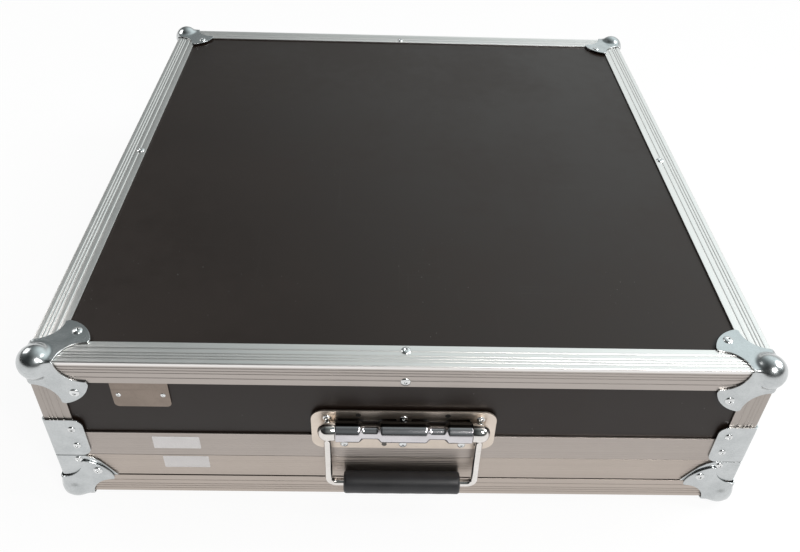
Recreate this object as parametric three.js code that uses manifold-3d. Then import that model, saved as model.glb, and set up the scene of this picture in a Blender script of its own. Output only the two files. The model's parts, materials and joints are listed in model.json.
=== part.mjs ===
// Mixer flight case: a deep hinged lid over a shallow tray, in ribbed aluminium,
// phenolic plywood and zinc-plated steel. Millimetres, +Z up, front towards -Y.
import * as THREE from 'three';
import { mergeVertices } from 'three/addons/utils/BufferGeometryUtils.js';
import Module from 'manifold-3d';

const wasm = await Module();
wasm.setup();

// Overall sizes, over the aluminium edges
const caseWidth = 560;
const caseDepth = 590;
const caseHeight = 156;
const jointHeight = 49.5;

// Clearances
const seatGap = 0.3;
const jointGap = 0.3;
const cutOverrun = 5;

// Plywood panels
const panelThickness = 7;

// Aluminium edge angle
const edgeFlange = 22;
const edgeWall = 1.5;
const edgeCornerRadius = 1.2;
const edgeCornerSteps = 3;
const edgeGrooveShares = [0.71, 0.48, 0.35, 0.22];
const grooveDepth = 0.35;
const grooveHalfWidth = 0.45;

// Aluminium tongue and groove rails at the joint
const railFlangeLid = 27.05;
const railFlangeBase = 25.65;
const railInnerFlange = 15;
const lidWeb = 6.5;
const baseWeb = 3;
const tongueHeight = 4;
const tongueFootWidth = 3.6;
const tongueTopWidth = 2.6;
const grooveSideClearance = 0.4;
const grooveTopClearance = 0.3;
const railGrooveShares = [0.15, 0.34, 0.53, 0.72, 0.88];

// Blind rivets
const rivetRadius = 3.9;
const rivetHeight = 1.3;
const rivetTopShare = 0.5;
const rivetSides = 6;
const edgeRivetInset = 16.5;

// Ball corners
const sheetWall = 1.2;
const ballRadius = 11;
const ballInset = 4;
const footFlat = 0.4;
const petalFoot = 22.5;
const petalSide = 42.3;
const petalTipCentre = 16.5;
const petalTipStart = 43.5;
const petalTipHalf = 22.5;
const petalRivet = 31.5;
const arcSteps = 4;
const ballSides = 16;
const ballRings = 10;
const hollowSides = 10;
const hollowRings = 6;

// Corner braces
const lidBraceWidth = 29;
const lidBraceToPetal = 19.34;
const lidBraceRadius = 8;
const lidBraceRivetInset = 19.5;
const lidBraceRivetShares = [0.285, 0.742];
const braceJointGap = 0.2;
const baseBraceNeck = 22;
const baseBraceShoulder = 28;
const baseBraceElbow = 33;
const baseBraceWidth = 45;
const baseBraceShoulderDrop = 3;
const baseBraceElbowDrop = 7.5;
const baseBraceRivetInset = 16.8;
const baseBraceRivetHeight = 44.6;
const braceRivetRadius = 3.2;

// Name plate
const namePlateLeft = 58;
const namePlateWidth = 43.6;
const namePlateHeight = 26.2;
const namePlateWall = 0.8;
const namePlateRadius = 4;
const namePlateRivetInset = 5;
const namePlateRivetRadius = 2;
const namePlateRivetHeight = 0.7;

// Foam lining
const foamWall = 24.1;
const baseFoamFloor = 10;
const baseFoamTopGap = 3.5;
const lidFoamRoof = 12;
const lidFoamBottomGap = 3.5;

// Handle
const handlePlateWidth = 145;
const handlePlateBottom = 63.5;
const handlePlateHeight = 44;
const handlePlateRadius = 10;
const handlePlateWall = 1.5;
const handleAxisHeight = 93.3;
const barrelHalf = 52.7;
const barrelRadius = 7.7;
const barrelHollowRadius = 6.5;
const neckRadius = 5;
const neckIn = 21;
const neckOut = 31;
const shoulderRun = 3;
const saddleHalfHeight = 4.2;
const knuckleHalf = 66;
const knuckleRadius = 7.2;
const bailRadius = 3;
const bailHalfWidth = 59.5;
const bailDrop = 64.5;
const bailBendRadius = 6;
const bailClearance = 0.3;
const gripHalf = 47.7;
const gripRadius = 9.25;
const gripRound = 2.5;
const springWire = 1.1;
const springTurns = 6;
const springPitch = 2.2;
const springSides = 5;
const springSteps = 8;
const springClearance = 0.7;
const handleRivetEdge = 60;
const handleRivetLow = 47;
const handleRivetTopInset = 8;
const handleRivetBottomInset = 4.8;
const handleRivetRadius = 3.2;
const handleRivetHeight = 1.1;
const rodSides = 8;
const turnedSides = 16;

// Slip hinges
const hingeOffset = 150;
const hingeAxisOut = 4.5;
const hingeWidth = 50;
const hingeLeafWall = 1.5;
const hingeLeafHeight = 21;
const hingeLeafClear = 4;
const hingeKnuckleRadius = 3.5;
const hingePinRadius = 1.75;
const hingePinClearance = 0.3;
const hingeKnuckleGap = 0.5;
const hingeWebWall = 1.5;
const hingeRivetInset = 9;
const hingeRivetRadius = 2.6;
const hingeRivetHeight = 0.9;
const knuckleSides = 12;

// Butterfly latches: places along the wall, heights, and depths from the outer face
const latchFromFront = 185;
const dishWall = 1;
const dishDepth = 8.6;
const dishHalfWidth = 38;
const dishRim = 8;
const dishTop = 118;
const dishRimFoot = 0.65;
const strikeBottom = 29;
const strikeRimBottom = 24.2;
const strikeRimTopGap = 0.6;
const wallCutClear = 0.3;
const hubHeight = 92;
const hubRadius = 13.3;
const hubWall = 1;
const hubPinRadius = 2;
const hubPinHeadRadius = 2.9;
const hubPinHeadHeight = 1;
const latchPlay = 0.3;
const wingAxis = 5;
const wingAxisDepth = 4.3;
const wingBarrelRadius = 1.7;
const wingPinRadius = 0.8;
const wingBarrelHalf = 9.2;
const wingWall = 1.4;
const wingRadius = 20;
const wingShoulder = 9.5;
const wingNeck = 7.7;
const earThickness = 1.5;
const earHalfWidth = 7.2;
const earTopDepth = 2.4;
const hookHeight = 66;
const hookDepth = 3.9;
const hookBarrelRadius = 2;
const hookPinRadius = 1;
const hookBarrelHalf = 9;
const hookHalfWidth = 7;
const hookWall = 1.6;
const hookLength = 31.6;
const hookFoot = 3.4;
const hookRelease = THREE.MathUtils.degToRad(8);
const hookEarThickness = 2;
const hookEarHalf = 2.5;
const hookEarDepth = 1.6;
const ledgeHalfWidth = 9;
const ledgeHeight = 2;
const ledgeGap = 0.5;
const ledgeSideGap = 0.4;
const latchRivetRadius = 2.6;
const latchRivetHeight = 0.9;
const smallSides = 8;

// Worked-out sizes
const halfWidth = caseWidth / 2;
const halfDepth = caseDepth / 2;
const panelOuter = edgeWall + seatGap;
const panelInner = panelOuter + panelThickness;
const railInner = panelInner + seatGap + edgeWall;
const tongueCentre = railInner / 2;
const lidBottom = jointHeight + jointGap / 2;
const baseTop = jointHeight - jointGap / 2;
const lidRailTop = lidBottom + railFlangeLid;
const baseRailBottom = baseTop - railFlangeBase;
const foamOuter = railInner + seatGap;
const petalTipRadius = Math.hypot(petalTipHalf - petalTipCentre, petalTipStart - petalTipCentre);
const lidBraceTop = caseHeight - petalTipCentre - petalTipRadius - lidBraceToPetal;
const bottomPanelTop = panelOuter + panelThickness;
const topPanelBottom = caseHeight - panelOuter - panelThickness;
const handleAxisOut = gripRadius + bailClearance;
const latchY = latchFromFront - halfDepth;

// Finishes
function finish(colour, roughness, metalness) {
  return () => new THREE.MeshStandardMaterial({ color: colour, roughness, metalness });
}
const phenolic = finish(0x1d1715, 0.45, 0);
const aluminium = finish(0xc4c0bb, 0.35, 1);
const zinc = finish(0xa9b0b6, 0.3, 1);
const chrome = finish(0xd8dadc, 0.12, 1);
const rubber = finish(0x121212, 0.7, 0);
const foam = finish(0x1b1b1d, 0.95, 0);
const springSteel = finish(0x70747a, 0.4, 1);

// Six times the volume that a mesh encloses, positive when its faces point out
function signedVolume(geometry) {
  const at = geometry.attributes.position;
  const corner = [new THREE.Vector3(), new THREE.Vector3(), new THREE.Vector3()];
  let sum = 0;
  for (let i = 0; i < geometry.index.count; i += 3) {
    corner.forEach((point, k) => point.fromBufferAttribute(at, geometry.index.getX(i + k)));
    sum += corner[0].dot(corner[1].clone().cross(corner[2]));
  }
  return sum;
}

// A closed mesh with shared corners and faces that point out
function welded(geometry) {
  const bare = geometry.clone();
  bare.deleteAttribute('normal');
  bare.deleteAttribute('uv');
  const merged = mergeVertices(bare);
  const kept = [];
  for (let i = 0; i < merged.index.count; i += 3) {
    const face = [0, 1, 2].map((k) => merged.index.getX(i + k));
    if (new Set(face).size === face.length) {
      kept.push(...face);
    }
  }
  merged.setIndex(kept);
  if (signedVolume(merged) < 0) {
    merged.setIndex(kept.reverse());
  }
  return merged;
}

// A closed mesh as a solid that can be joined and cut
function solid(geometry) {
  const mesh = welded(geometry);
  const vertProperties = new Float32Array(mesh.attributes.position.array);
  const triVerts = new Uint32Array(mesh.index.array);
  return new wasm.Manifold(new wasm.Mesh({ numProp: 3, vertProperties, triVerts }));
}

// A solid as a geometry
function geometryOf(body) {
  const mesh = body.getMesh();
  const geometry = new THREE.BufferGeometry();
  geometry.setAttribute('position', new THREE.BufferAttribute(mesh.vertProperties, 3));
  geometry.setIndex(new THREE.BufferAttribute(mesh.triVerts, 1));
  geometry.computeVertexNormals();
  return geometry;
}

function joined(...bodies) {
  return bodies.reduce((sum, body) => sum.add(body));
}

// A block between two corners
function block(low, high) {
  const size = high.map((value, axis) => value - low[axis]);
  const middle = high.map((value, axis) => (value + low[axis]) / 2);
  return new THREE.BoxGeometry(...size).translate(...middle);
}

// A round bar along an axis, from one place on it to another
function bar(axis, radius, from, to, sides = smallSides, endRadius = radius) {
  const geometry = new THREE.CylinderGeometry(endRadius, radius, to - from, sides);
  geometry.translate(0, (from + to) / 2, 0);
  if (axis === 'x') {
    geometry.rotateZ(-Math.PI / 2);
  }
  if (axis === 'z') {
    geometry.rotateX(Math.PI / 2);
  }
  return geometry;
}

// A body turned about the X axis from points of place and radius
function turned(points, sides = turnedSides) {
  const profile = points.map(([place, radius]) => new THREE.Vector2(radius, place));
  return new THREE.LatheGeometry(profile, sides).rotateZ(-Math.PI / 2);
}

// A flat outline between two levels across the named axis; the outline's two
// directions become the other two axes in order
function sheet(points, low, high, across) {
  const shape = new THREE.Shape(points.map(([a, b]) => new THREE.Vector2(a, b)));
  const geometry = new THREE.ExtrudeGeometry(shape, { depth: high - low, bevelEnabled: false });
  geometry.translate(0, 0, low);
  const turn = new THREE.Matrix4();
  if (across === 'x') {
    turn.set(0, 0, 1, 0, 1, 0, 0, 0, 0, 1, 0, 0, 0, 0, 0, 1);
  }
  if (across === 'y') {
    turn.set(1, 0, 0, 0, 0, 0, 1, 0, 0, 1, 0, 0, 0, 0, 0, 1);
  }
  return geometry.applyMatrix4(turn);
}

// Points of an arc, both ends included
function arc(centre, radius, from, to, steps = arcSteps) {
  const points = [];
  for (let i = 0; i <= steps; i += 1) {
    const angle = from + ((to - from) * i) / steps;
    points.push([centre[0] + radius * Math.cos(angle), centre[1] + radius * Math.sin(angle)]);
  }
  return points;
}

// A rectangle with a radius at each corner, from low left, anticlockwise
function roundedRectangle(low, high, radii) {
  const quarter = Math.PI / 2;
  const corners = [
    [low[0] + radii[0], low[1] + radii[0]],
    [high[0] - radii[1], low[1] + radii[1]],
    [high[0] - radii[2], high[1] - radii[2]],
    [low[0] + radii[3], high[1] - radii[3]],
  ];
  return corners.flatMap((centre, i) => {
    const start = (i + 2) * quarter;
    return radii[i] > 0 ? arc(centre, radii[i], start, start + quarter) : [centre];
  });
}

// The side faces over rings of points, and round again when the rings close
function skin(rings, closes) {
  const count = rings[0].length;
  const index = [];
  const last = closes ? rings.length : rings.length - 1;
  for (let k = 0; k < last; k += 1) {
    const here = k * count;
    const next = ((k + 1) % rings.length) * count;
    for (let i = 0; i < count; i += 1) {
      const j = (i + 1) % count;
      index.push(here + i, next + i, next + j);
      index.push(here + i, next + j, here + j);
    }
  }
  return index;
}

function bufferGeometry(rings, index) {
  const geometry = new THREE.BufferGeometry();
  geometry.setAttribute('position', new THREE.Float32BufferAttribute(rings.flat(2), 3));
  geometry.setIndex(index);
  return geometry;
}

// A closed skin over rings of points with a flat face at both ends
function cappedSkin(rings, outline) {
  const points = outline.map(([a, b]) => new THREE.Vector2(a, b));
  const index = skin(rings, false);
  const end = (rings.length - 1) * outline.length;
  const runs = Math.sign(THREE.ShapeUtils.area(points));
  THREE.ShapeUtils.triangulateShape(points, []).forEach(([a, b, c]) => {
    const same = Math.sign(THREE.ShapeUtils.area([points[a], points[b], points[c]])) === runs;
    const [second, third] = same ? [b, c] : [c, b];
    index.push(a, second, third);
    index.push(end + a, end + third, end + second);
  });
  return bufferGeometry(rings, index);
}

// A frame round the whole case from a profile of inward distance and height
function mitredRing(profile) {
  const turns = [[-1, -1], [1, -1], [1, 1], [-1, 1]];
  const rings = turns.map(([sx, sy]) => profile.map(([inward, height]) => (
    [sx * (halfWidth - inward), sy * (halfDepth - inward), height])));
  return bufferGeometry(rings, skin(rings, true));
}

// A bar along X with both ends mitred, its outer face on y = 0
function mitredBar(profile, halfLength) {
  const rings = [-1, 1].map((side) => profile.map(([inward, height]) => (
    [side * (halfLength - inward - seatGap), inward, height])));
  return cappedSkin(rings, profile);
}

// A round rod along points in a plane of constant y
function rod(points, radius, sides = rodSides) {
  const places = points.map(([x, z]) => new THREE.Vector3(x, 0, z));
  const circle = [];
  for (let i = 0; i < sides; i += 1) {
    const angle = (2 * Math.PI * i) / sides;
    circle.push([radius * Math.cos(angle), radius * Math.sin(angle)]);
  }
  const across = new THREE.Vector3(0, 1, 0);
  const rings = places.map((place, i) => {
    const before = place.clone().sub(places[Math.max(i - 1, 0)]);
    const after = places[Math.min(i + 1, places.length - 1)].clone().sub(place);
    const arriving = (i > 0 ? before : after).normalize();
    const leaving = (i < places.length - 1 ? after : before).normalize();
    const along = arriving.clone().add(leaving).normalize();
    const stretch = 1 / along.dot(arriving);
    const side = along.clone().cross(across);
    return circle.map(([a, b]) => {
      const point = place.clone().addScaledVector(side, a * stretch).addScaledVector(across, b);
      return point.toArray();
    });
  });
  return cappedSkin(rings, circle);
}

// The grooved outer side of a flange, as places along it and depths, tip first
function groovedSide(length, shares) {
  const points = [[length, 0]];
  shares.forEach((share) => {
    const place = share * length;
    points.push([place + grooveHalfWidth, 0], [place, grooveDepth], [place - grooveHalfWidth, 0]);
  });
  return points;
}

// The section of an edge angle, its outer corner at the origin
function angleSection() {
  const side = groovedSide(edgeFlange, edgeGrooveShares);
  const centre = [edgeCornerRadius, edgeCornerRadius];
  const corner = arc(centre, edgeCornerRadius, -Math.PI / 2, -Math.PI, edgeCornerSteps);
  const other = side.map(([place, depth]) => [depth, place]).reverse();
  const inside = [[edgeWall, edgeFlange], [edgeWall, edgeWall], [edgeFlange, edgeWall]];
  return [...side, ...corner, ...other, ...inside];
}

// A rivet head that stands out along an axis from a surface, at a place on it
function rivet(axis, place, surface, out, radius = rivetRadius, height = rivetHeight) {
  const sunk = height / 2;
  const from = Math.min(surface - out * sunk, surface + out * height);
  const to = Math.max(surface - out * sunk, surface + out * height);
  const top = radius * rivetTopShare;
  const low = out > 0 ? radius : top;
  const high = out > 0 ? top : radius;
  const geometry = bar(axis, low, from, to, rivetSides, high);
  if (axis === 'x') {
    return solid(geometry.translate(0, place[0], place[1]));
  }
  if (axis === 'y') {
    return solid(geometry.translate(place[0], 0, place[1]));
  }
  return solid(geometry.translate(place[0], place[1], 0));
}

const group = new THREE.Group();

// A named mesh, placed and turned in its parent
function add(name, geometry, material, position = [0, 0, 0], turn = [0, 0, 0], parent = group) {
  const mesh = new THREE.Mesh(welded(geometry), material());
  mesh.name = name;
  mesh.geometry.computeVertexNormals();
  mesh.position.set(...position);
  mesh.rotation.set(...turn);
  parent.add(mesh);
  return mesh;
}

// The four sides and four corners of the case
const sides = [
  { name: 'front', turn: 0, half: halfWidth, out: halfDepth },
  { name: 'right', turn: Math.PI / 2, half: halfDepth, out: halfWidth },
  { name: 'back', turn: Math.PI, half: halfWidth, out: halfDepth },
  { name: 'left', turn: -Math.PI / 2, half: halfDepth, out: halfWidth },
];
const corners = [
  { name: 'front_left', sx: -1, sy: -1 },
  { name: 'front_right', sx: 1, sy: -1 },
  { name: 'back_left', sx: -1, sy: 1 },
  { name: 'back_right', sx: 1, sy: 1 },
];

// The place of a side's middle on the outer face, for a piece with its face on y = 0
function sidePlace(side) {
  return [side.out * Math.sin(side.turn), -side.out * Math.cos(side.turn), 0];
}

// Edge angles round the top and the bottom
function addEdges() {
  sides.forEach((side) => {
    const section = angleSection();
    const lidSection = section.map(([inward, down]) => [inward, caseHeight - down]);
    const baseSection = section;
    const lidEdge = joined(
      solid(mitredBar(lidSection, side.half)),
      rivet('z', [0, edgeRivetInset], caseHeight, 1),
      rivet('y', [0, caseHeight - edgeRivetInset], 0, -1),
    );
    const baseEdge = joined(
      solid(mitredBar(baseSection, side.half)),
      rivet('z', [0, edgeRivetInset], 0, -1),
    );
    add(`lid_edge_${side.name}`, geometryOf(lidEdge), aluminium, sidePlace(side), [0, 0, side.turn]);
    add(`base_edge_${side.name}`, geometryOf(baseEdge), aluminium, sidePlace(side), [0, 0, side.turn]);
  });
}

// Upright angle at each corner of the lid, between the rail and the top edge
function addPosts() {
  const from = lidRailTop + seatGap;
  const to = caseHeight - edgeFlange - seatGap;
  corners.forEach(({ name, sx, sy }) => {
    const outline = angleSection().map(([a, b]) => [-sx * a, -sy * b]);
    add(`lid_post_${name}`, sheet(outline, from, to, 'z'), aluminium, [sx * halfWidth, sy * halfDepth, 0]);
  });
}

// The cut through a side wall for a latch, from one height to another
function latchCuts(from, to) {
  const half = dishHalfWidth + dishWall + wallCutClear;
  const depth = dishDepth + wallCutClear;
  const across = [-1, 1].map((sx) => {
    const inner = sx * (halfWidth - depth);
    const outer = sx * (halfWidth + cutOverrun);
    return solid(block(
      [Math.min(inner, outer), latchY - half, from],
      [Math.max(inner, outer), latchY + half, to],
    ));
  });
  return joined(...across);
}

// Highest and lowest reach of the latch cuts
const lidCutTop = dishTop + dishWall + wallCutClear;
const baseCutBottom = strikeBottom - dishWall - wallCutClear;

// Panels of the lid
function addLidPanels() {
  const wide = halfWidth - panelOuter;
  const deep = halfDepth - panelOuter;
  const low = lidBottom + lidWeb + seatGap;
  const high = topPanelBottom - seatGap;
  const topPanel = block([-wide, -deep, topPanelBottom], [wide, deep, caseHeight - panelOuter]);
  add('lid_top_panel', topPanel, phenolic);
  const frontPanel = block([-wide, 0, low], [wide, panelThickness, high]);
  add('lid_front_panel', frontPanel, phenolic, [0, -deep, 0]);
  add('lid_back_panel', frontPanel, phenolic, [0, deep - panelThickness, 0]);
  const reach = halfDepth - panelInner - seatGap;
  const cuts = latchCuts(low - cutOverrun, lidCutTop);
  [['left', -1], ['right', 1]].forEach(([name, sx]) => {
    const outer = sx * wide;
    const inner = sx * (wide - panelThickness);
    const panel = solid(block(
      [Math.min(inner, outer), -reach, low],
      [Math.max(inner, outer), reach, high],
    ));
    add(`lid_${name}_panel`, geometryOf(panel.subtract(cuts)), phenolic);
  });
}

// Panels of the base
function addBasePanels() {
  const wide = halfWidth - panelOuter;
  const deep = halfDepth - panelOuter;
  add('base_bottom_panel', block([-wide, -deep, panelOuter], [wide, deep, bottomPanelTop]), phenolic);
  const low = bottomPanelTop + seatGap;
  const high = baseTop - baseWeb - seatGap;
  const section = [[panelOuter, low], [panelInner, low], [panelInner, high], [panelOuter, high]];
  const walls = solid(mitredRing(section));
  add('base_wall_frame', geometryOf(walls.subtract(latchCuts(baseCutBottom, high + cutOverrun))), phenolic);
}

// Tongue and groove rails
function addRails() {
  const lidSide = groovedSide(railFlangeLid, railGrooveShares.toReversed());
  const grooveHalf = tongueFootWidth / 2 + grooveSideClearance;
  const grooveTop = lidBottom + tongueHeight + grooveTopClearance;
  const lidProfile = [
    ...lidSide.map(([along, depth]) => [depth, lidBottom + along]),
    [0, lidBottom],
    [tongueCentre - grooveHalf, lidBottom],
    [tongueCentre - grooveHalf, grooveTop],
    [tongueCentre + grooveHalf, grooveTop],
    [tongueCentre + grooveHalf, lidBottom],
    [railInner, lidBottom],
    [railInner, lidBottom + railInnerFlange],
    [railInner - edgeWall, lidBottom + railInnerFlange],
    [railInner - edgeWall, lidBottom + lidWeb],
    [edgeWall, lidBottom + lidWeb],
    [edgeWall, lidRailTop],
  ];
  const lidRail = solid(mitredRing(lidProfile)).subtract(latchCuts(lidBottom - cutOverrun, lidCutTop));
  add('lid_rail', geometryOf(lidRail), aluminium);

  const baseSide = groovedSide(railFlangeBase, railGrooveShares.toReversed());
  const baseProfile = [
    ...baseSide.map(([along, depth]) => [depth, baseTop - along]),
    [0, baseTop],
    [tongueCentre - tongueFootWidth / 2, baseTop],
    [tongueCentre - tongueTopWidth / 2, baseTop + tongueHeight],
    [tongueCentre + tongueTopWidth / 2, baseTop + tongueHeight],
    [tongueCentre + tongueFootWidth / 2, baseTop],
    [railInner, baseTop],
    [railInner, baseTop - railInnerFlange],
    [railInner - edgeWall, baseTop - railInnerFlange],
    [railInner - edgeWall, baseTop - baseWeb],
    [edgeWall, baseTop - baseWeb],
    [edgeWall, baseRailBottom],
  ];
  const cut = latchCuts(baseCutBottom, baseTop + tongueHeight + cutOverrun);
  add('base_rail', geometryOf(solid(mitredRing(baseProfile)).subtract(cut)), aluminium);
}

// Outline of one petal of a ball corner, measured from the corner along two edges
function petalOutline(overlap) {
  const side = arc([petalSide, 0], petalSide - petalFoot, Math.PI, Math.PI / 2);
  const rise = petalTipHalf - petalTipCentre;
  const run = petalTipStart - petalTipCentre;
  const lean = Math.atan2(rise, run);
  const tip = arc([petalTipCentre, petalTipCentre], petalTipRadius, lean, Math.PI / 2 - lean);
  const mirrored = side.map(([a, b]) => [b, a]).reverse();
  return [[-overlap, -overlap], [petalFoot, -overlap], ...side, ...tip, ...mirrored, [-overlap, petalFoot]];
}

// A ball corner over the corner of three faces, inward distances counted positive
function ballCorner(footed) {
  const outer = seatGap + sheetWall;
  const outline = petalOutline(outer);
  const petals = ['x', 'y', 'z'].map((across) => solid(sheet(outline, -outer, -seatGap, across)));
  const rivets = ['x', 'y', 'z'].map((across) => rivet(across, [petalRivet, petalRivet], -outer, -1));
  const inset = footed ? ballInset + outer : ballInset;
  const centre = [inset, inset, ballInset];
  const ball = new THREE.SphereGeometry(ballRadius, ballSides, ballRings).rotateX(Math.PI / 2);
  const hollow = new THREE.SphereGeometry(ballRadius - sheetWall, hollowSides, hollowRings);
  const reach = caseHeight;
  const inside = block([-seatGap, -seatGap, -seatGap], [reach, reach, reach]);
  let body = joined(...petals, ...rivets, solid(ball.translate(...centre)));
  body = body.subtract(solid(hollow.rotateX(Math.PI / 2).translate(...centre))).subtract(solid(inside));
  if (footed) {
    const level = ballInset - ballRadius + footFlat;
    body = body.subtract(solid(block([-reach, -reach, level - cutOverrun], [reach, reach, level])));
  }
  return geometryOf(body);
}

// Brace outlines on one face, as distance from the corner and height
function lidBraceOutline(overlap) {
  const low = [-overlap, lidBottom + braceJointGap];
  return roundedRectangle(low, [lidBraceWidth, lidBraceTop], [0, lidBraceRadius, lidBraceRadius, 0]);
}

function baseBraceOutline(overlap) {
  const top = baseTop - braceJointGap;
  const foot = baseRailBottom + seatGap;
  return [
    [-overlap, top],
    [-overlap, foot],
    [baseBraceWidth, foot],
    [baseBraceElbow, jointHeight - baseBraceElbowDrop],
    [baseBraceShoulder, jointHeight - baseBraceShoulderDrop],
    [baseBraceNeck, top],
  ];
}

// A brace folded round an upright corner, with rivets on both of its faces
function brace(outline, places) {
  const outer = seatGap + sheetWall;
  const faces = ['x', 'y'].map((across) => solid(sheet(outline(outer), -outer, -seatGap, across)));
  const rivets = places.flatMap((place) => ['x', 'y'].map((across) => (
    rivet(across, place, -outer, -1, braceRivetRadius))));
  return geometryOf(joined(...faces, ...rivets));
}

// Ball corners and braces at every corner
function addCorners() {
  const lidBall = ballCorner(false);
  const baseBall = ballCorner(true);
  const braceFoot = lidBottom + braceJointGap;
  const lidPlaces = lidBraceRivetShares.map((share) => (
    [lidBraceRivetInset, braceFoot + share * (lidBraceTop - braceFoot)]));
  const lidBrace = brace(lidBraceOutline, lidPlaces);
  const baseBrace = brace(baseBraceOutline, [[baseBraceRivetInset, baseBraceRivetHeight]]);
  const over = seatGap + sheetWall;
  corners.forEach(({ name, sx, sy }) => {
    const place = [sx * halfWidth, sy * halfDepth];
    const proud = [sx * (halfWidth + over), sy * (halfDepth + over), 0];
    const turnedIn = (geometry, up) => geometry.clone().scale(-sx, -sy, up);
    add(`lid_ball_corner_${name}`, turnedIn(lidBall, -1), zinc, [...place, caseHeight]);
    add(`lid_brace_${name}`, turnedIn(lidBrace, 1), zinc, [...place, 0]);
    add(`base_ball_corner_${name}`, turnedIn(baseBall, 1), zinc, proud);
    add(`base_brace_${name}`, turnedIn(baseBrace, 1), zinc, [...place, 0]);
  });
}

// Bare name plate under the top edge of the front
function addNamePlate() {
  const left = namePlateLeft - halfWidth;
  const right = left + namePlateWidth;
  const top = caseHeight - edgeFlange - seatGap;
  const bottom = top - namePlateHeight;
  const back = panelOuter - seatGap;
  const face = back - namePlateWall;
  const outline = roundedRectangle([left, bottom], [right, top], [namePlateRadius, namePlateRadius, 0, 0]);
  const height = (top + bottom) / 2;
  const rivets = [left + namePlateRivetInset, right - namePlateRivetInset].map((x) => (
    rivet('y', [x, height], face, -1, namePlateRivetRadius, namePlateRivetHeight)));
  const plate = joined(solid(sheet(outline, face, back, 'y')), ...rivets);
  add('name_plate', geometryOf(plate), aluminium, [0, -halfDepth, 0]);
}

// Foam lining of the base and the lid round the mixer bay
function addFoam() {
  const wide = halfWidth - foamOuter;
  const deep = halfDepth - foamOuter;
  const bayWide = wide - foamWall;
  const bayDeep = deep - foamWall;
  const baseLow = bottomPanelTop + seatGap;
  const baseHigh = baseTop - baseFoamTopGap;
  const baseBay = block(
    [-bayWide, -bayDeep, baseLow + baseFoamFloor],
    [bayWide, bayDeep, baseHigh + cutOverrun],
  );
  const baseBody = solid(block([-wide, -deep, baseLow], [wide, deep, baseHigh])).subtract(solid(baseBay));
  add('base_foam', geometryOf(baseBody), foam);
  const lidLow = lidBottom + lidFoamBottomGap;
  const lidHigh = topPanelBottom - seatGap;
  const lidBay = block([-bayWide, -bayDeep, lidLow - cutOverrun], [bayWide, bayDeep, lidHigh - lidFoamRoof]);
  const lidBody = solid(block([-wide, -deep, lidLow], [wide, deep, lidHigh])).subtract(solid(lidBay));
  add('lid_foam', geometryOf(lidBody), foam);
}

// Radius and place along the barrel, its necks cut in by the given amounts
function barrelProfile(end, wide, neck, shift) {
  const inner = neckIn - shoulderRun;
  const outer = neckOut + shoulderRun;
  const half = [[inner - shift, wide], [neckIn - shift, neck], [neckOut + shift, neck], [outer + shift, wide],
    [end, wide], [end, 0]];
  const mirrored = half.map(([place, radius]) => [-place, radius]).reverse();
  return [...mirrored, ...half];
}

// Pressed handle plate with its barrel
function addHandlePlate() {
  const outer = seatGap + handlePlateWall;
  const half = handlePlateWidth / 2;
  const top = handlePlateBottom + handlePlateHeight;
  const radius = handlePlateRadius;
  const radii = [radius, radius, radius, radius];
  const outline = roundedRectangle([-half, handlePlateBottom], [half, top], radii);
  const plate = solid(sheet(outline, -outer, -seatGap, 'y'));
  const toAxis = [0, -handleAxisOut, handleAxisHeight];
  const barrel = solid(turned(barrelProfile(barrelHalf, barrelRadius, neckRadius, 0)).translate(...toAxis));
  const saddle = solid(block(
    [-barrelHalf, -handleAxisOut, handleAxisHeight - saddleHalfHeight],
    [barrelHalf, -(seatGap + outer) / 2, handleAxisHeight + saddleHalfHeight],
  ));
  const neckHollow = bailRadius + bailClearance;
  const wall = barrelRadius - barrelHollowRadius;
  const hollowProfile = barrelProfile(barrelHalf + cutOverrun, barrelHollowRadius, neckHollow, wall);
  const hollow = solid(turned(hollowProfile).translate(...toAxis));
  const topRow = [-handleRivetEdge, 0, handleRivetEdge].map((x) => [x, top - handleRivetTopInset]);
  const lowHeight = handlePlateBottom + handleRivetBottomInset;
  const lowRow = [-handleRivetLow, 0, handleRivetLow].map((x) => [x, lowHeight]);
  const rivets = [...topRow, ...lowRow].map((place) => (
    rivet('y', place, -outer, -1, handleRivetRadius, handleRivetHeight)));
  const body = joined(plate, barrel, saddle, ...rivets).subtract(hollow);
  add('handle_plate', geometryOf(body), chrome, [0, -halfDepth, 0]);
}

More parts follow.
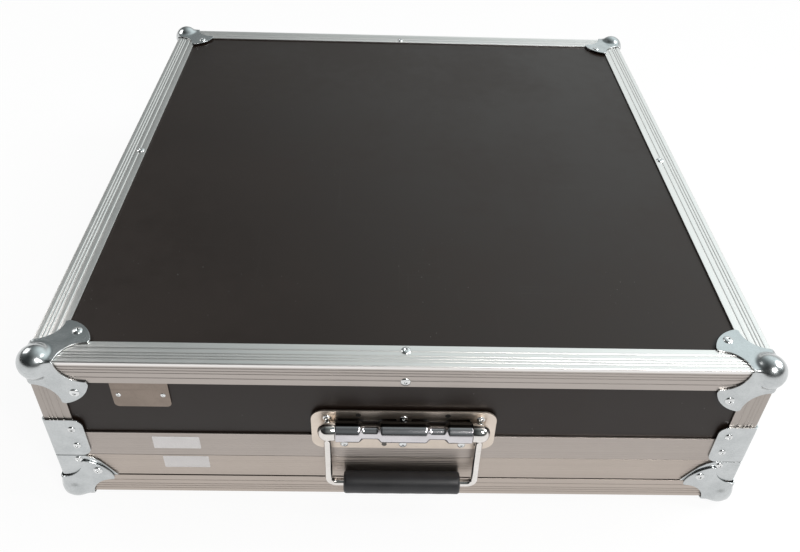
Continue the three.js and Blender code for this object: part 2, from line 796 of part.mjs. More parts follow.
// Bail, grip and return spring of the handle, about the barrel's axis
function addHandle() {
  const toAxis = [0, -halfDepth - handleAxisOut, handleAxisHeight];
  const bends = [[-1, Math.PI, Math.PI * 1.5], [1, Math.PI * 1.5, Math.PI * 2]];
  const path = [
    [-bailHalfWidth, 0],
    ...bends.flatMap(([side, from, to]) => {
      const centre = [side * (bailHalfWidth - bailBendRadius), bailBendRadius - bailDrop];
      return arc(centre, bailBendRadius, from, to);
    }),
    [bailHalfWidth, 0],
  ];
  const knuckles = [-1, 1].map((side) => {
    const ends = [side * (barrelHalf + bailClearance), side * knuckleHalf];
    return solid(bar('x', knuckleRadius, Math.min(...ends), Math.max(...ends), turnedSides));
  });
  const middle = (barrelHalf + knuckleHalf) / 2;
  const topBar = solid(bar('x', bailRadius, -middle, middle, turnedSides));
  add('handle_bail', geometryOf(joined(solid(rod(path, bailRadius)), topBar, ...knuckles)), chrome, toAxis);

  const bore = bailRadius + bailClearance;
  const shoulder = gripRadius - gripRound;
  const grip = turned([
    [-gripHalf, bore],
    [-gripHalf, shoulder],
    [gripRound - gripHalf, gripRadius],
    [gripHalf - gripRound, gripRadius],
    [gripHalf, shoulder],
    [gripHalf, bore],
    [-gripHalf, bore],
  ]);
  add('handle_grip', grip, rubber, [toAxis[0], toAxis[1], toAxis[2] - bailDrop]);

  const coil = new SpringPath(bailRadius + springClearance + springWire / 2, springPitch, springTurns);
  const section = new THREE.Shape(arc([0, 0], springWire / 2, 0, 2 * Math.PI, springSides)
    .slice(1).map(([a, b]) => new THREE.Vector2(a, b)));
  const steps = springTurns * springSteps;
  const spring = new THREE.ExtrudeGeometry(section, { steps, extrudePath: coil, bevelEnabled: false });
  add('handle_spring', spring, springSteel, toAxis);
}

// The return spring's helix about the X axis, centred on the origin
class SpringPath extends THREE.Curve {
  constructor(radius, pitch, turns) {
    super();
    this.radius = radius;
    this.pitch = pitch;
    this.turns = turns;
  }

  getPoint(share, target = new THREE.Vector3()) {
    const angle = 2 * Math.PI * this.turns * share;
    const place = this.pitch * this.turns * (share - 1 / 2);
    return target.set(place, this.radius * Math.cos(angle), this.radius * Math.sin(angle));
  }
}

// Slip hinges on the back, each a base leaf with its pin and a lid leaf with a bore
function addHinges() {
  const half = hingeWidth / 2;
  const face = seatGap + hingeLeafWall;
  const gap = hingeKnuckleGap / 2;
  const webFrom = hingeAxisOut - hingeKnuckleRadius;
  const leaf = (side) => {
    const near = jointHeight + side * hingeLeafClear;
    const far = near + side * hingeLeafHeight;
    const plate = block([-half, seatGap, Math.min(near, far)], [half, face, Math.max(near, far)]);
    const from = side > 0 ? gap : -half;
    const to = side > 0 ? half : -gap;
    const overlap = near + side * seatGap;
    const web = block(
      [from, webFrom, Math.min(jointHeight, overlap)],
      [to, webFrom + hingeWebWall, Math.max(jointHeight, overlap)],
    );
    const knuckle = bar('x', hingeKnuckleRadius, from, to, knuckleSides);
    const rivets = [hingeRivetInset - half, 0, half - hingeRivetInset].map((x) => (
      rivet('y', [x, (near + far) / 2], face, 1, hingeRivetRadius, hingeRivetHeight)));
    knuckle.translate(0, hingeAxisOut, jointHeight);
    return joined(solid(plate), solid(web), solid(knuckle), ...rivets);
  };
  const pin = bar('x', hingePinRadius, -half + gap, half, knuckleSides);
  pin.translate(0, hingeAxisOut, jointHeight);
  const boreRadius = hingePinRadius + hingePinClearance;
  const bore = bar('x', boreRadius, -half, half + cutOverrun, knuckleSides);
  bore.translate(0, hingeAxisOut, jointHeight);
  const baseLeaf = geometryOf(leaf(-1).add(solid(pin)));
  const lidLeaf = geometryOf(leaf(1).subtract(solid(bore)));
  [['left', -1], ['right', 1]].forEach(([name, side]) => {
    const place = [side * hingeOffset, halfDepth, 0];
    add(`hinge_base_leaf_${name}`, baseLeaf, zinc, place);
    add(`hinge_lid_leaf_${name}`, lidLeaf, zinc, place);
  });
}

// Depths of the latch pieces along the wall's outward direction
const dishFloor = dishWall - dishDepth;
const dishFace = seatGap + dishWall;
const hubFace = dishFloor + latchPlay + hubWall;

// The recessed dish in the lid with the pins that carry the hub and the hook
function latchDish() {
  const rimHalf = dishHalfWidth + dishRim;
  const wallHalf = dishHalfWidth + dishWall;
  const foot = lidBottom + dishRimFoot;
  const rim = block([seatGap, -rimHalf, foot], [dishFace, rimHalf, dishTop + dishRim]);
  const shell = block([-dishDepth, -wallHalf, foot], [dishFace, wallHalf, dishTop + dishWall]);
  const pocket = block([dishFloor, -dishHalfWidth, foot - cutOverrun], [cutOverrun, dishHalfWidth, dishTop]);
  const sunk = dishFloor - dishWall / 2;
  const headFrom = hubFace + latchPlay;
  const pin = bar('x', hubPinRadius, sunk, headFrom + hubPinHeadHeight / 2);
  const head = bar('x', hubPinHeadRadius, headFrom, headFrom + hubPinHeadHeight, knuckleSides);
  const earFrom = hookBarrelHalf + latchPlay;
  const ears = [-1, 1].map((side) => {
    const ends = [side * earFrom, side * (earFrom + hookEarThickness)];
    return solid(block(
      [sunk, Math.min(...ends), hookHeight - hookEarHalf],
      [-hookEarDepth, Math.max(...ends), hookHeight + hookEarHalf],
    ));
  });
  const earMiddle = earFrom + hookEarThickness / 2;
  const hookPin = bar('y', hookPinRadius, -earMiddle, earMiddle).translate(-hookDepth, 0, hookHeight);
  const rimMiddle = dishHalfWidth + dishWall + (dishRim - dishWall) / 2;
  const rivets = [-rimMiddle, rimMiddle].flatMap((y) => [foot + dishRim, dishTop].map((z) => (
    rivet('x', [y, z], dishFace, 1, latchRivetRadius, latchRivetHeight))));
  return joined(
    joined(solid(rim), solid(shell)).subtract(solid(pocket)),
    solid(pin.translate(0, 0, hubHeight)),
    solid(head.translate(0, 0, hubHeight)),
    solid(hookPin),
    ...ears,
    ...rivets,
  );
}

// The dish in the base with the ledge that the hook draws against
function latchStrike() {
  const rimHalf = dishHalfWidth + dishRim;
  const wallHalf = dishHalfWidth + dishWall;
  const top = baseTop - strikeRimTopGap;
  const rim = block([seatGap, -rimHalf, strikeRimBottom], [dishFace, rimHalf, top]);
  const shell = block([-dishDepth, -wallHalf, strikeBottom - dishWall], [dishFace, wallHalf, top]);
  const pocket = block(
    [dishFloor, -dishHalfWidth, strikeBottom],
    [cutOverrun, dishHalfWidth, top + cutOverrun],
  );
  const ledgeLow = hookHeight - hookLength + hookWall + ledgeGap;
  const ledge = block(
    [dishFloor - dishWall / 2, -ledgeHalfWidth, ledgeLow],
    [-(hookDepth + hookWall / 2 + ledgeSideGap), ledgeHalfWidth, ledgeLow + ledgeHeight],
  );
  const rimMiddle = dishHalfWidth + dishWall + (dishRim - dishWall) / 2;
  const rivets = [-rimMiddle, rimMiddle].map((y) => (
    rivet('x', [y, (strikeBottom + top) / 2], dishFace, 1, latchRivetRadius, latchRivetHeight)));
  return joined(joined(solid(rim), solid(shell)).subtract(solid(pocket)), solid(ledge), ...rivets);
}

// The hub that turns on the dish's pin and carries the two wings, about its own axis
function latchHub() {
  const disc = bar('x', hubRadius, dishFloor + latchPlay, hubFace, turnedSides);
  const bore = bar('x', hubPinRadius + latchPlay, dishFloor, hubFace + hubWall);
  const earFrom = wingBarrelHalf + latchPlay;
  const ears = [-1, 1].map((side) => {
    const ends = [side * earFrom, side * (earFrom + earThickness)];
    return solid(block(
      [hubFace - hubWall / 2, -earHalfWidth, Math.min(...ends)],
      [-earTopDepth, earHalfWidth, Math.max(...ends)],
    ));
  });
  const pinHalf = earFrom + earThickness / 2;
  const pins = [-1, 1].map((side) => (
    solid(bar('z', wingPinRadius, -pinHalf, pinHalf).translate(-wingAxisDepth, side * wingAxis, 0))));
  return joined(solid(disc).subtract(solid(bore)), ...ears, ...pins);
}

// One folding wing, about its own hinge axis, reaching towards +Y
function latchWing() {
  const start = wingBarrelRadius - wingWall / 2;
  const shoulderHeight = Math.sqrt(wingRadius ** 2 - wingShoulder ** 2);
  const lean = Math.atan2(shoulderHeight, wingShoulder);
  const outline = [
    [wingAxis + start, -wingBarrelHalf],
    [wingNeck, -wingBarrelHalf],
    ...arc([0, 0], wingRadius, -lean, lean, 2 * arcSteps),
    [wingNeck, wingBarrelHalf],
    [wingAxis + start, wingBarrelHalf],
  ].map(([along, up]) => [along - wingAxis, up]);
  const plate = solid(sheet(outline, -wingWall / 2, wingWall / 2, 'x'));
  const barrel = solid(bar('z', wingBarrelRadius, -wingBarrelHalf, wingBarrelHalf, knuckleSides));
  const reach = wingBarrelHalf + cutOverrun;
  return plate.add(barrel).subtract(solid(bar('z', wingPinRadius + latchPlay, -reach, reach)));
}

// The hook, about its own pivot, hanging straight down as when it is latched
function latchHook() {
  const barrel = bar('y', hookBarrelRadius, -hookBarrelHalf, hookBarrelHalf, knuckleSides);
  const half = hookWall / 2;
  const arm = block([-half, -hookHalfWidth, -hookLength], [half, hookHalfWidth, -half]);
  const foot = block([-hookFoot, -hookHalfWidth, -hookLength], [half, hookHalfWidth, hookWall - hookLength]);
  const reach = hookBarrelHalf + cutOverrun;
  const bore = bar('y', hookPinRadius + latchPlay, -reach, reach);
  return joined(solid(barrel), solid(arm), solid(foot)).subtract(solid(bore));
}

// A butterfly latch on each side of the case
function addLatches() {
  const dish = geometryOf(latchDish());
  const strike = geometryOf(latchStrike());
  const hub = geometryOf(latchHub());
  const wing = geometryOf(latchWing());
  const hook = geometryOf(latchHook());
  [['left', -1], ['right', 1]].forEach(([name, side]) => {
    const latch = new THREE.Group();
    latch.position.set(side * halfWidth, latchY, 0);
    latch.rotation.z = side > 0 ? 0 : Math.PI;
    group.add(latch);
    add(`latch_dish_${name}`, dish, zinc, [0, 0, 0], [0, 0, 0], latch);
    add(`latch_strike_${name}`, strike, zinc, [0, 0, 0], [0, 0, 0], latch);
    add(`latch_hub_${name}`, hub, zinc, [0, 0, hubHeight], [0, 0, 0], latch);
    [['front', -1], ['back', 1]].forEach(([end, way]) => {
      const flip = way * side > 0 ? 0 : Math.PI;
      const place = [-wingAxisDepth, way * side * wingAxis, hubHeight];
      add(`latch_wing_${name}_${end}`, wing, zinc, place, [flip, 0, 0], latch);
    });
    add(`latch_hook_${name}`, hook, zinc, [-hookDepth, 0, hookHeight], [0, -hookRelease, 0], latch);
  });
}

addEdges();
addPosts();
addLidPanels();
addBasePanels();
addRails();
addCorners();
addNamePlate();
addFoam();
addHandlePlate();
addHandle();
addHinges();
addLatches();

// The origin stands under the middle of the whole case
group.updateMatrixWorld(true);
const bounds = new THREE.Box3().setFromObject(group, true);
const middle = bounds.getCenter(new THREE.Vector3());
group.position.set(-middle.x, -middle.y, -bounds.min.z);
group.updateMatrixWorld(true);

export default group;
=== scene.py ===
"""A mixer flight case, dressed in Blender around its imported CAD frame.

The case is a deep hinged lid over a shallow tray: phenolic plywood in ribbed aluminium
angles and rails, with zinc-plated ball corners and braces, a spring-loaded chrome handle
on the front, a recessed butterfly latch on each side and slip hinges on the back.
Sizes are in millimetres about the middle of the case unless a name says otherwise.
"""

import json
import logging
import math
import random
from dataclasses import dataclass
from enum import Enum
from typing import Callable, Iterable, Optional, Sequence

import bmesh
import bpy
import numpy
from mathutils import Matrix, Vector
from mathutils.geometry import delaunay_2d_cdt

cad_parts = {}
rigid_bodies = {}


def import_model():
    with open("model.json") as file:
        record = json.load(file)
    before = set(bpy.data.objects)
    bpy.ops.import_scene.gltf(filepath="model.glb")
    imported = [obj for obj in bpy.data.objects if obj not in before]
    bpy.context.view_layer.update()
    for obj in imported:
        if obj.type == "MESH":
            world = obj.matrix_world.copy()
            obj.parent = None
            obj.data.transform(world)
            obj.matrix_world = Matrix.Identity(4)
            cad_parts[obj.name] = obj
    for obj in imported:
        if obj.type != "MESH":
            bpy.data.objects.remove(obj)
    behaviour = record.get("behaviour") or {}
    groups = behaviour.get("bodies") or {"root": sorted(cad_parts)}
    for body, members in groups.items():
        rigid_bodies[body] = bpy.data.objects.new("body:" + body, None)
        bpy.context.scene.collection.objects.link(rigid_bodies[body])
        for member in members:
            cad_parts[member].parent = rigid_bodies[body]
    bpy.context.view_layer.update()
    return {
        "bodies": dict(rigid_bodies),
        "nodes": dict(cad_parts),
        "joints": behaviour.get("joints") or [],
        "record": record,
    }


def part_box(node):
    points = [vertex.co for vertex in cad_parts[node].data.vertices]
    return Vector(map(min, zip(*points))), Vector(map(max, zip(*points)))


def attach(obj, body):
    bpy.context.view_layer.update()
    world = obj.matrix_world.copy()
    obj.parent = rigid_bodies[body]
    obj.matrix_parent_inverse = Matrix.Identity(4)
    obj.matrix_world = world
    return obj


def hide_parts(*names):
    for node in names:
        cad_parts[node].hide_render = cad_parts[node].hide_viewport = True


LOG = logging.getLogger("flight_case")
MM = 0.001
QUARTER = math.pi / 2
STILL = Matrix.Identity(4)
STOOD_UP = Matrix.Rotation(QUARTER, 4, "X")
X_TO_Y = Matrix.Rotation(QUARTER, 4, "Z")
X_TO_Z = Matrix.Rotation(-QUARTER, 4, "Y")
ALONG_WALL = Matrix(((0, 0, 1, 0), (1, 0, 0, 0), (0, 1, 0, 0), (0, 0, 0, 1)))
UP, DOWN, AHEAD, BEHIND = (0.0, 0.0, 1.0), (0.0, 0.0, -1.0), (0.0, -1.0, 0.0), (0.0, 1.0, 0.0)

Colour = tuple[float, float, float]
Pair = tuple[float, float]
Socket = bpy.types.NodeSocket


class Slot(Enum):
    """The record's material slots, one named for each made piece."""

    ALUMINIUM = "ribbed_aluminium"
    ZINC = "zinc_steel"
    CHROME = "handle_chrome"
    RUBBER = "grip_rubber"
    FOAM = "lining_foam"
    PLATE = "bare_plate"


class Run(Enum):
    """The direction an extrusion or a brushed sheet runs in."""

    X = 0
    Y = 1
    Z = 2


class Side(Enum):
    """The four walls of the case, each with its turn about the upright axis."""

    FRONT = ("front", 0.0)
    RIGHT = ("right", QUARTER)
    BACK = ("back", math.pi)
    LEFT = ("left", -QUARTER)

    def __init__(self, label: str, turn: float) -> None:
        """Keeps the wall's name and its turn."""
        self.label = label
        self.turn = turn

    @property
    def latched(self) -> bool:
        """Whether this is an end wall, left or right, that carries a latch."""
        return self in (Side.LEFT, Side.RIGHT)

    @property
    def run(self) -> Run:
        """The direction that the wall runs in."""
        return Run.Y if self.latched else Run.X


class Corner(Enum):
    """The four upright corners, with the signs of their places."""

    FRONT_LEFT = ("front_left", -1, -1)
    FRONT_RIGHT = ("front_right", 1, -1)
    BACK_LEFT = ("back_left", -1, 1)
    BACK_RIGHT = ("back_right", 1, 1)

    def __init__(self, label: str, sx: int, sy: int) -> None:
        """Keeps the corner's name and signs."""
        self.label = label
        self.sx = sx
        self.sy = sy


class Wiring:
    """Adds and joins the nodes of one material, group or world."""

    def __init__(self, tree: bpy.types.NodeTree) -> None:
        """Keeps the tree that the nodes go into."""
        self.tree = tree

    def node(self, kind: str, feeds: Optional[dict] = None, **settings) -> bpy.types.Node:
        """Adds a node.

        Args:
            kind: the node's type name.
            feeds: a value or a socket for each named or numbered input.
            settings: properties of the node.

        Returns:
            The new node.
        """
        made = self.tree.nodes.new(kind)
        for key, value in settings.items():
            setattr(made, key, value)
        for key, value in (feeds or {}).items():
            self.feed(made.inputs[key], value)
        return made

    def feed(self, into: Socket, value) -> None:
        """Links a socket into an input, or sets the input's own value."""
        if isinstance(value, bpy.types.NodeSocket):
            self.tree.links.new(value, into)
        else:
            into.default_value = value

    def math(self, operation: str, first, *others) -> Socket:
        """A math operation's result for values or sockets, taken in turn."""
        for other in others:
            first = self.node("ShaderNodeMath", {0: first, 1: other}, operation=operation).outputs[0]
        return first

    def total(self, first, *parts: tuple) -> Socket:
        """A value with others added to it, each times its share."""
        for value, share in parts:
            first = self.math("ADD", first, self.math("MULTIPLY", value, share))
        return first

    def spread(self, value, low: float, high: float, to_low: float = 0.0, to_high: float = 1.0) -> Socket:
        """A value mapped smoothly from one range to another, and held inside it."""
        feeds = {"Value": value, "From Min": low, "From Max": high, "To Min": to_low, "To Max": to_high}
        return self.node("ShaderNodeMapRange", feeds, interpolation_type="SMOOTHSTEP").outputs[0]

    def laid(self, tone, *layers: tuple) -> Socket:
        """A tone with colours laid over it, each by its mask times its share."""
        for mask, share, colour in layers:
            feeds = {0: self.math("MULTIPLY", mask, share), 6: tone, 7: colour}
            tone = self.node("ShaderNodeMix", feeds, data_type="RGBA").outputs[2]
        return tone

    def scaled(self, vector, scale) -> Socket:
        """A vector multiplied axis by axis."""
        made = self.node("ShaderNodeVectorMath", {0: vector, 1: scale}, operation="MULTIPLY")
        return made.outputs[0]

    def noise(self, vector, scale: float, detail: float, rough: float) -> Socket:
        """Noise from 0 to 1 at a place."""
        feeds = {"Vector": vector, "Scale": scale, "Detail": detail, "Roughness": rough}
        return self.node("ShaderNodeTexNoise", feeds).outputs[0]


class Effects:
    """Shader node groups that several finishes share, each built at its first use."""

    made: dict[str, bpy.types.NodeTree] = {}

    @classmethod
    def use(cls, wiring: Wiring, fill: Callable[[Wiring, dict], dict], place: Socket, **values) -> dict:
        """Places a shared group in a material with the material's own values.

        Args:
            wiring: the material's wiring.
            fill: adds the group's nodes and gives a socket for each output; the group has its name.
            place: the place on the piece in metres.
            values: what the group's other inputs are set to, numbers or vectors.

        Returns:
            The placed group's outputs.
        """
        name = fill.__name__
        feeds = {"Place": place, **values}
        if name not in cls.made:
            tree = bpy.data.node_groups.new(name, "ShaderNodeTree")
            for label, value in feeds.items():
                kind = "NodeSocketFloat" if isinstance(value, float) else "NodeSocketVector"
                tree.interface.new_socket(label, in_out="INPUT", socket_type=kind)
            inner = Wiring(tree)
            found = fill(inner, inner.node("NodeGroupInput").outputs)
            for label in found:
                tree.interface.new_socket(label, in_out="OUTPUT", socket_type="NodeSocketFloat")
            inner.node("NodeGroupOutput", found)
            cls.made[name] = tree
        placed = wiring.node("ShaderNodeGroup", node_tree=cls.made[name])
        for label, value in feeds.items():
            wiring.feed(placed.inputs[label], value)
        return placed.outputs

    @staticmethod
    def streaks(wiring: Wiring, entry: dict) -> dict:
        """Fine lines of two widths along an extrusion, from a stretched place."""
        place = wiring.scaled(entry["Place"], entry["Stretch"])
        fine = wiring.noise(place, 1.0, 2.0, 0.6)
        broad = wiring.noise(wiring.scaled(place, (0.4, 0.4, 0.4)), 0.5, 2.0, 0.5)
        lines = wiring.total(0.0, (fine, 0.6), (broad, 0.4))
        return {"Mask": wiring.spread(lines, 0.3, 0.7), "Height": fine}

    @staticmethod
    def mottle(wiring: Wiring, entry: dict) -> dict:
        """Cloudy patches with a softer grain inside them."""
        scaled = wiring.node("ShaderNodeVectorMath", {0: entry["Place"], "Scale": entry["Scale"]},
                             operation="SCALE").outputs[0]
        grain = wiring.noise(scaled, 9.0, 3.0, 0.6)
        both = wiring.total(0.0, (wiring.noise(scaled, 1.0, 4.0, 0.6), 0.72), (grain, 0.28))
        return {"Mask": wiring.spread(both, 0.36, 0.66), "Height": grain}

    @staticmethod
    def specks(wiring: Wiring, entry: dict) -> dict:
        """Dust: small dots in a few chance cells, gathered where a broad noise is high."""
        feeds = {"Vector": entry["Place"], "Scale": entry["Scale"], "Randomness": 1.0}
        cells = wiring.node("ShaderNodeTexVoronoi", feeds, feature="F1").outputs
        dot = wiring.spread(cells["Distance"], 0.16, 0.04)
        chance = wiring.node("ShaderNodeSeparateColor", {0: cells["Color"]}).outputs[0]
        picked = wiring.math("LESS_THAN", chance, entry["Share"])
        gathered = wiring.spread(wiring.noise(entry["Place"], 9.0, 3.0, 0.6), 0.5, 0.62)
        return {"Mask": wiring.math("MULTIPLY", dot, picked, gathered)}

    @staticmethod
    def hairlines(wiring: Wiring, entry: dict) -> dict:
        """Thin handling scratches turned two ways and thinned in patches."""
        marks = []
        for turn, stretch in ((0.35, (9.0, 700.0, 700.0)), (-0.8, (650.0, 11.0, 650.0))):
            feeds = {"Vector": entry["Place"], "Rotation": (turn, 0.4 * turn, turn), "Scale": stretch}
            turned = wiring.node("ShaderNodeMapping", feeds).outputs[0]
            marks.append(wiring.spread(wiring.noise(turned, 1.0, 0.0, 0.5), 0.74, 0.8))
        patches = wiring.spread(wiring.noise(entry["Place"], 11.0, 2.0, 0.5), 0.5, 0.72)
        return {"Mask": wiring.math("MULTIPLY", wiring.math("MAXIMUM", *marks), patches)}

    @staticmethod
    def rubbed(wiring: Wiring, entry: dict) -> dict:
        """Rubbed edges, from how far a rounded normal leans from the face's own, broken up by noise."""
        rounded = wiring.node("ShaderNodeBevel", {"Radius": entry["Width"]}, samples=4).outputs[0]
        own = wiring.node("ShaderNodeNewGeometry").outputs["Normal"]
        dot = wiring.node("ShaderNodeVectorMath", {0: rounded, 1: own}, operation="DOT_PRODUCT")
        edge = wiring.spread(wiring.math("SUBTRACT", 1.0, dot.outputs["Value"]), 0.02, 0.2)
        broken = wiring.spread(wiring.noise(entry["Place"], 220.0, 2.0, 0.6), 0.3, 0.62)
        return {"Mask": wiring.math("MULTIPLY", edge, broken)}


def rgba(colour: Colour, gain: float = 1.0) -> tuple[float, ...]:
    """A colour with its alpha, brightened or darkened."""
    return tuple(min(1.0, part * gain) for part in colour) + (1.0,)


class Finish:
    """What every finish shares: a named material with its shader, made once."""

    made: dict[str, bpy.types.Material] = {}

    @property
    def label(self) -> str:
        """The material's name."""
        return self.name

    @staticmethod
    def begin(label: str) -> tuple[bpy.types.Material, Wiring, bpy.types.Node, Socket]:
        """Starts a material, and gives its wiring, shader and the place on the piece in metres."""
        material = bpy.data.materials.new(label)
        material.use_nodes = True
        material.node_tree.nodes.clear()
        wiring = Wiring(material.node_tree)
        shader = wiring.node("ShaderNodeBsdfPrincipled")
        wiring.node("ShaderNodeOutputMaterial", {"Surface": shader.outputs[0]})
        return material, wiring, shader, wiring.node("ShaderNodeTexCoord").outputs["Object"]

    def material(self) -> bpy.types.Material:
        """The finish's material, made at the first call."""
        if self.label not in Finish.made:
            material, wiring, shader, place = Finish.begin(self.label)
            self.fill(wiring, shader, place)
            Finish.made[self.label] = material
        return Finish.made[self.label]

    @staticmethod
    def surface(wiring: Wiring, shader: bpy.types.Node, tone: Socket, rough: Socket, bump: tuple,
                **others: float) -> None:
        """Feeds a shader.

        Args:
            wiring: the material's wiring.
            shader: its Principled shader.
            tone: the base colour.
            rough: the roughness.
            bump: a height, its depth in metres and its strength.
            others: more of the shader's inputs.
        """
        raised = wiring.node("ShaderNodeBump", dict(zip(("Height", "Distance", "Strength"), bump))).outputs[0]
        for name, value in {"Base Color": tone, "Roughness": rough, "Normal": raised, **others}.items():
            wiring.feed(shader.inputs[name], value)


@dataclass(frozen=True)
class Extruded(Finish):
    """Mill-finish ribbed aluminium with lines along its run, with painted shade: darker and warmer below a
    given height, standing in for the shade and the warm reflection on its sides.
    """

    run: Run
    name: str = "edge_aluminium"
    colour: Colour = (0.87, 0.85, 0.83)
    dull: Colour = (0.83, 0.805, 0.78)
    roughness: float = 0.31
    painted_shade_height: float = 0.0
    painted_shade_fade: float = 0.002
    painted_shade_colour: Colour = (0.42, 0.375, 0.345)

    @property
    def label(self) -> str:
        """The material's name, one for each run."""
        return f"{self.name}_{self.run.name.lower()}"

    def fill(self, wiring: Wiring, shader: bpy.types.Node, place: Socket) -> None:
        """Wires the lines, clouds, scratches and rubbed edges."""
        stretch = [900.0, 900.0, 900.0]
        stretch[self.run.value] = 0.5
        lines = Effects.use(wiring, Effects.streaks, place, Stretch=tuple(stretch))
        clouds = Effects.use(wiring, Effects.mottle, place, Scale=22.0)["Mask"]
        scratches = Effects.use(wiring, Effects.hairlines, place)["Mask"]
        edges = Effects.use(wiring, Effects.rubbed, place, Width=0.0006)["Mask"]
        tone = wiring.laid(rgba(self.dull), (lines["Mask"], 1.0, rgba(self.colour)),
                           (clouds, 0.12, rgba(self.dull, 0.92)), (edges, 0.1, rgba(self.colour, 1.2)))
        # Painted shade: below the given height the tone turns darker and warmer, standing in for the shade and
        # the warm reflection on the sides.
        if self.painted_shade_height:
            height = wiring.node("ShaderNodeSeparateXYZ", {0: place}).outputs["Z"]
            under = wiring.spread(height, self.painted_shade_height, self.painted_shade_height - self.painted_shade_fade)
            tone = wiring.laid(tone, (under, 0.92, rgba(self.painted_shade_colour)))
        rough = wiring.total(self.roughness, (clouds, 0.05), (scratches, 0.03))
        self.surface(wiring, shader, tone, rough, (lines["Height"], 0.00001, 0.014), Metallic=1.0)


@dataclass(frozen=True)
class Plated(Finish):
    """Plated steel: zinc, chrome, or the bare satin of a name plate.

    A painted reflection band gives a dark line, standing in for a dark reflection, where the sum of Y and Z,
    each times its factor, lies between two bounds.
    """

    name: str
    colour: Colour
    dull: Colour
    roughness: float
    rough_spread: float
    cloud_scale: float
    cloud_share: float
    grain_depth: float = 0.00003
    painted_reflection_band: tuple[float, ...] = ()
    painted_reflection_colour: Colour = (0.035, 0.032, 0.03)

    def fill(self, wiring: Wiring, shader: bpy.types.Node, place: Socket) -> None:
        """Wires the clouds, scratches, rubbed edges and the painted dark reflection band."""
        clouds = Effects.use(wiring, Effects.mottle, place, Scale=self.cloud_scale)
        scratches = Effects.use(wiring, Effects.hairlines, place)["Mask"]
        edges = Effects.use(wiring, Effects.rubbed, place, Width=0.0007)["Mask"]
        share = wiring.math("MULTIPLY", clouds["Mask"], self.cloud_share)
        tone = wiring.laid(rgba(self.colour), (share, 1.0, rgba(self.dull)),
                           (edges, 0.5, rgba(self.colour, 1.35)), (scratches, 0.25, rgba(self.dull, 0.8)))
        # Painted reflection: a dark band standing in for the dark reflection along the top of the barrel.
        if self.painted_reflection_band:
            parts = wiring.node("ShaderNodeSeparateXYZ", {0: place}).outputs
            lean = wiring.total(0.0, (parts["Y"], self.painted_reflection_band[0]), (parts["Z"], self.painted_reflection_band[1]))
            tone = wiring.laid(tone, (wiring.spread(lean, *self.painted_reflection_band[2:]), 1.0, rgba(self.painted_reflection_colour)))
        rough = wiring.total(self.roughness, (share, self.rough_spread), (scratches, 0.15))
        self.surface(wiring, shader, tone, rough, (clouds["Height"], self.grain_depth, 0.35), Metallic=1.0)


@dataclass(frozen=True)
class Phenolic(Finish):
    """Dark phenolic film on plywood, with dust and faint handling marks."""

    name: str = "phenolic_film"
    colour: Colour = (0.0115, 0.0062, 0.0040)
    pale: Colour = (0.0165, 0.0098, 0.0070)
    dust: Colour = (0.42, 0.42, 0.41)

    def fill(self, wiring: Wiring, shader: bpy.types.Node, place: Socket) -> None:
        """Wires the clouds, dust, scratches and the film's pebble."""
        clouds = Effects.use(wiring, Effects.mottle, place, Scale=7.0)["Mask"]
        specks = Effects.use(wiring, Effects.specks, place, Scale=420.0, Share=0.05)["Mask"]
        scratches = Effects.use(wiring, Effects.hairlines, place)["Mask"]
        tone = wiring.laid(rgba(self.colour), (clouds, 0.5, rgba(self.pale)),
                           (scratches, 0.012, rgba(self.dust)), (specks, 0.6, rgba(self.dust)))
        rough = wiring.total(0.36, (clouds, 0.1), (specks, 0.3))
        pebble = wiring.noise(place, 1300.0, 2.0, 0.5)
        self.surface(wiring, shader, tone, rough, (pebble, 0.00003, 0.25), IOR=1.41)


@dataclass(frozen=True)
class Dull(Finish):
    """A matt non-metal with a pore, fibre or pebble texture: rubber, foam or paper."""

    name: str
    colour: Colour
    pale: Colour
    roughness: float
    pore_scale: float
    pore_depth: float
    cloud_scale: float

    def fill(self, wiring: Wiring, shader: bpy.types.Node, place: Socket) -> None:
        """Wires the clouds and the pores."""
        clouds = Effects.use(wiring, Effects.mottle, place, Scale=self.cloud_scale)["Mask"]
        feeds = {"Vector": place, "Scale": self.pore_scale, "Randomness": 1.0}
        pores = wiring.node("ShaderNodeTexVoronoi", feeds, feature="SMOOTH_F1").outputs["Distance"]
        tone = wiring.laid(rgba(self.colour), (clouds, 0.6, rgba(self.pale)),
                           (wiring.spread(pores, 0.2, 0.75), 0.35, rgba(self.colour, 0.75)))
        rough = wiring.total(self.roughness, (clouds, 0.08))
        self.surface(wiring, shader, tone, rough, (pores, self.pore_depth, 0.5))


# Painted shade and painted reflection: the rails, the uprights and the base pieces get darker, warmer copies of
# the same aluminium, standing in for the shade on them and the warm surroundings that they reflect.
RAIL_PAINTED_SHADE = {"name": "rail_aluminium", "colour": (0.45, 0.402, 0.37), "dull": (0.42, 0.375, 0.345),
                "roughness": 0.34}
POST_PAINTED_SHADE = {"name": "post_aluminium", "colour": (0.42, 0.38, 0.35), "dull": (0.39, 0.353, 0.325),
                "roughness": 0.34}
BASE_PAINTED_SHADE = {"name": "base_aluminium", "colour": (0.50, 0.437, 0.39), "dull": (0.465, 0.407, 0.363),
                "roughness": 0.34}
ZINC = Plated("zinc_steel", (0.58, 0.60, 0.605), (0.47, 0.49, 0.495), 0.19, 0.12, 55.0, 0.7)
RIVET_STEEL = Plated("rivet_steel", (0.78, 0.79, 0.79), (0.55, 0.56, 0.56), 0.16, 0.12, 90.0, 0.5)
CHROME = Plated("handle_chrome", (0.80, 0.77, 0.74), (0.66, 0.63, 0.60), 0.07, 0.08, 40.0, 0.5, 0.00001)
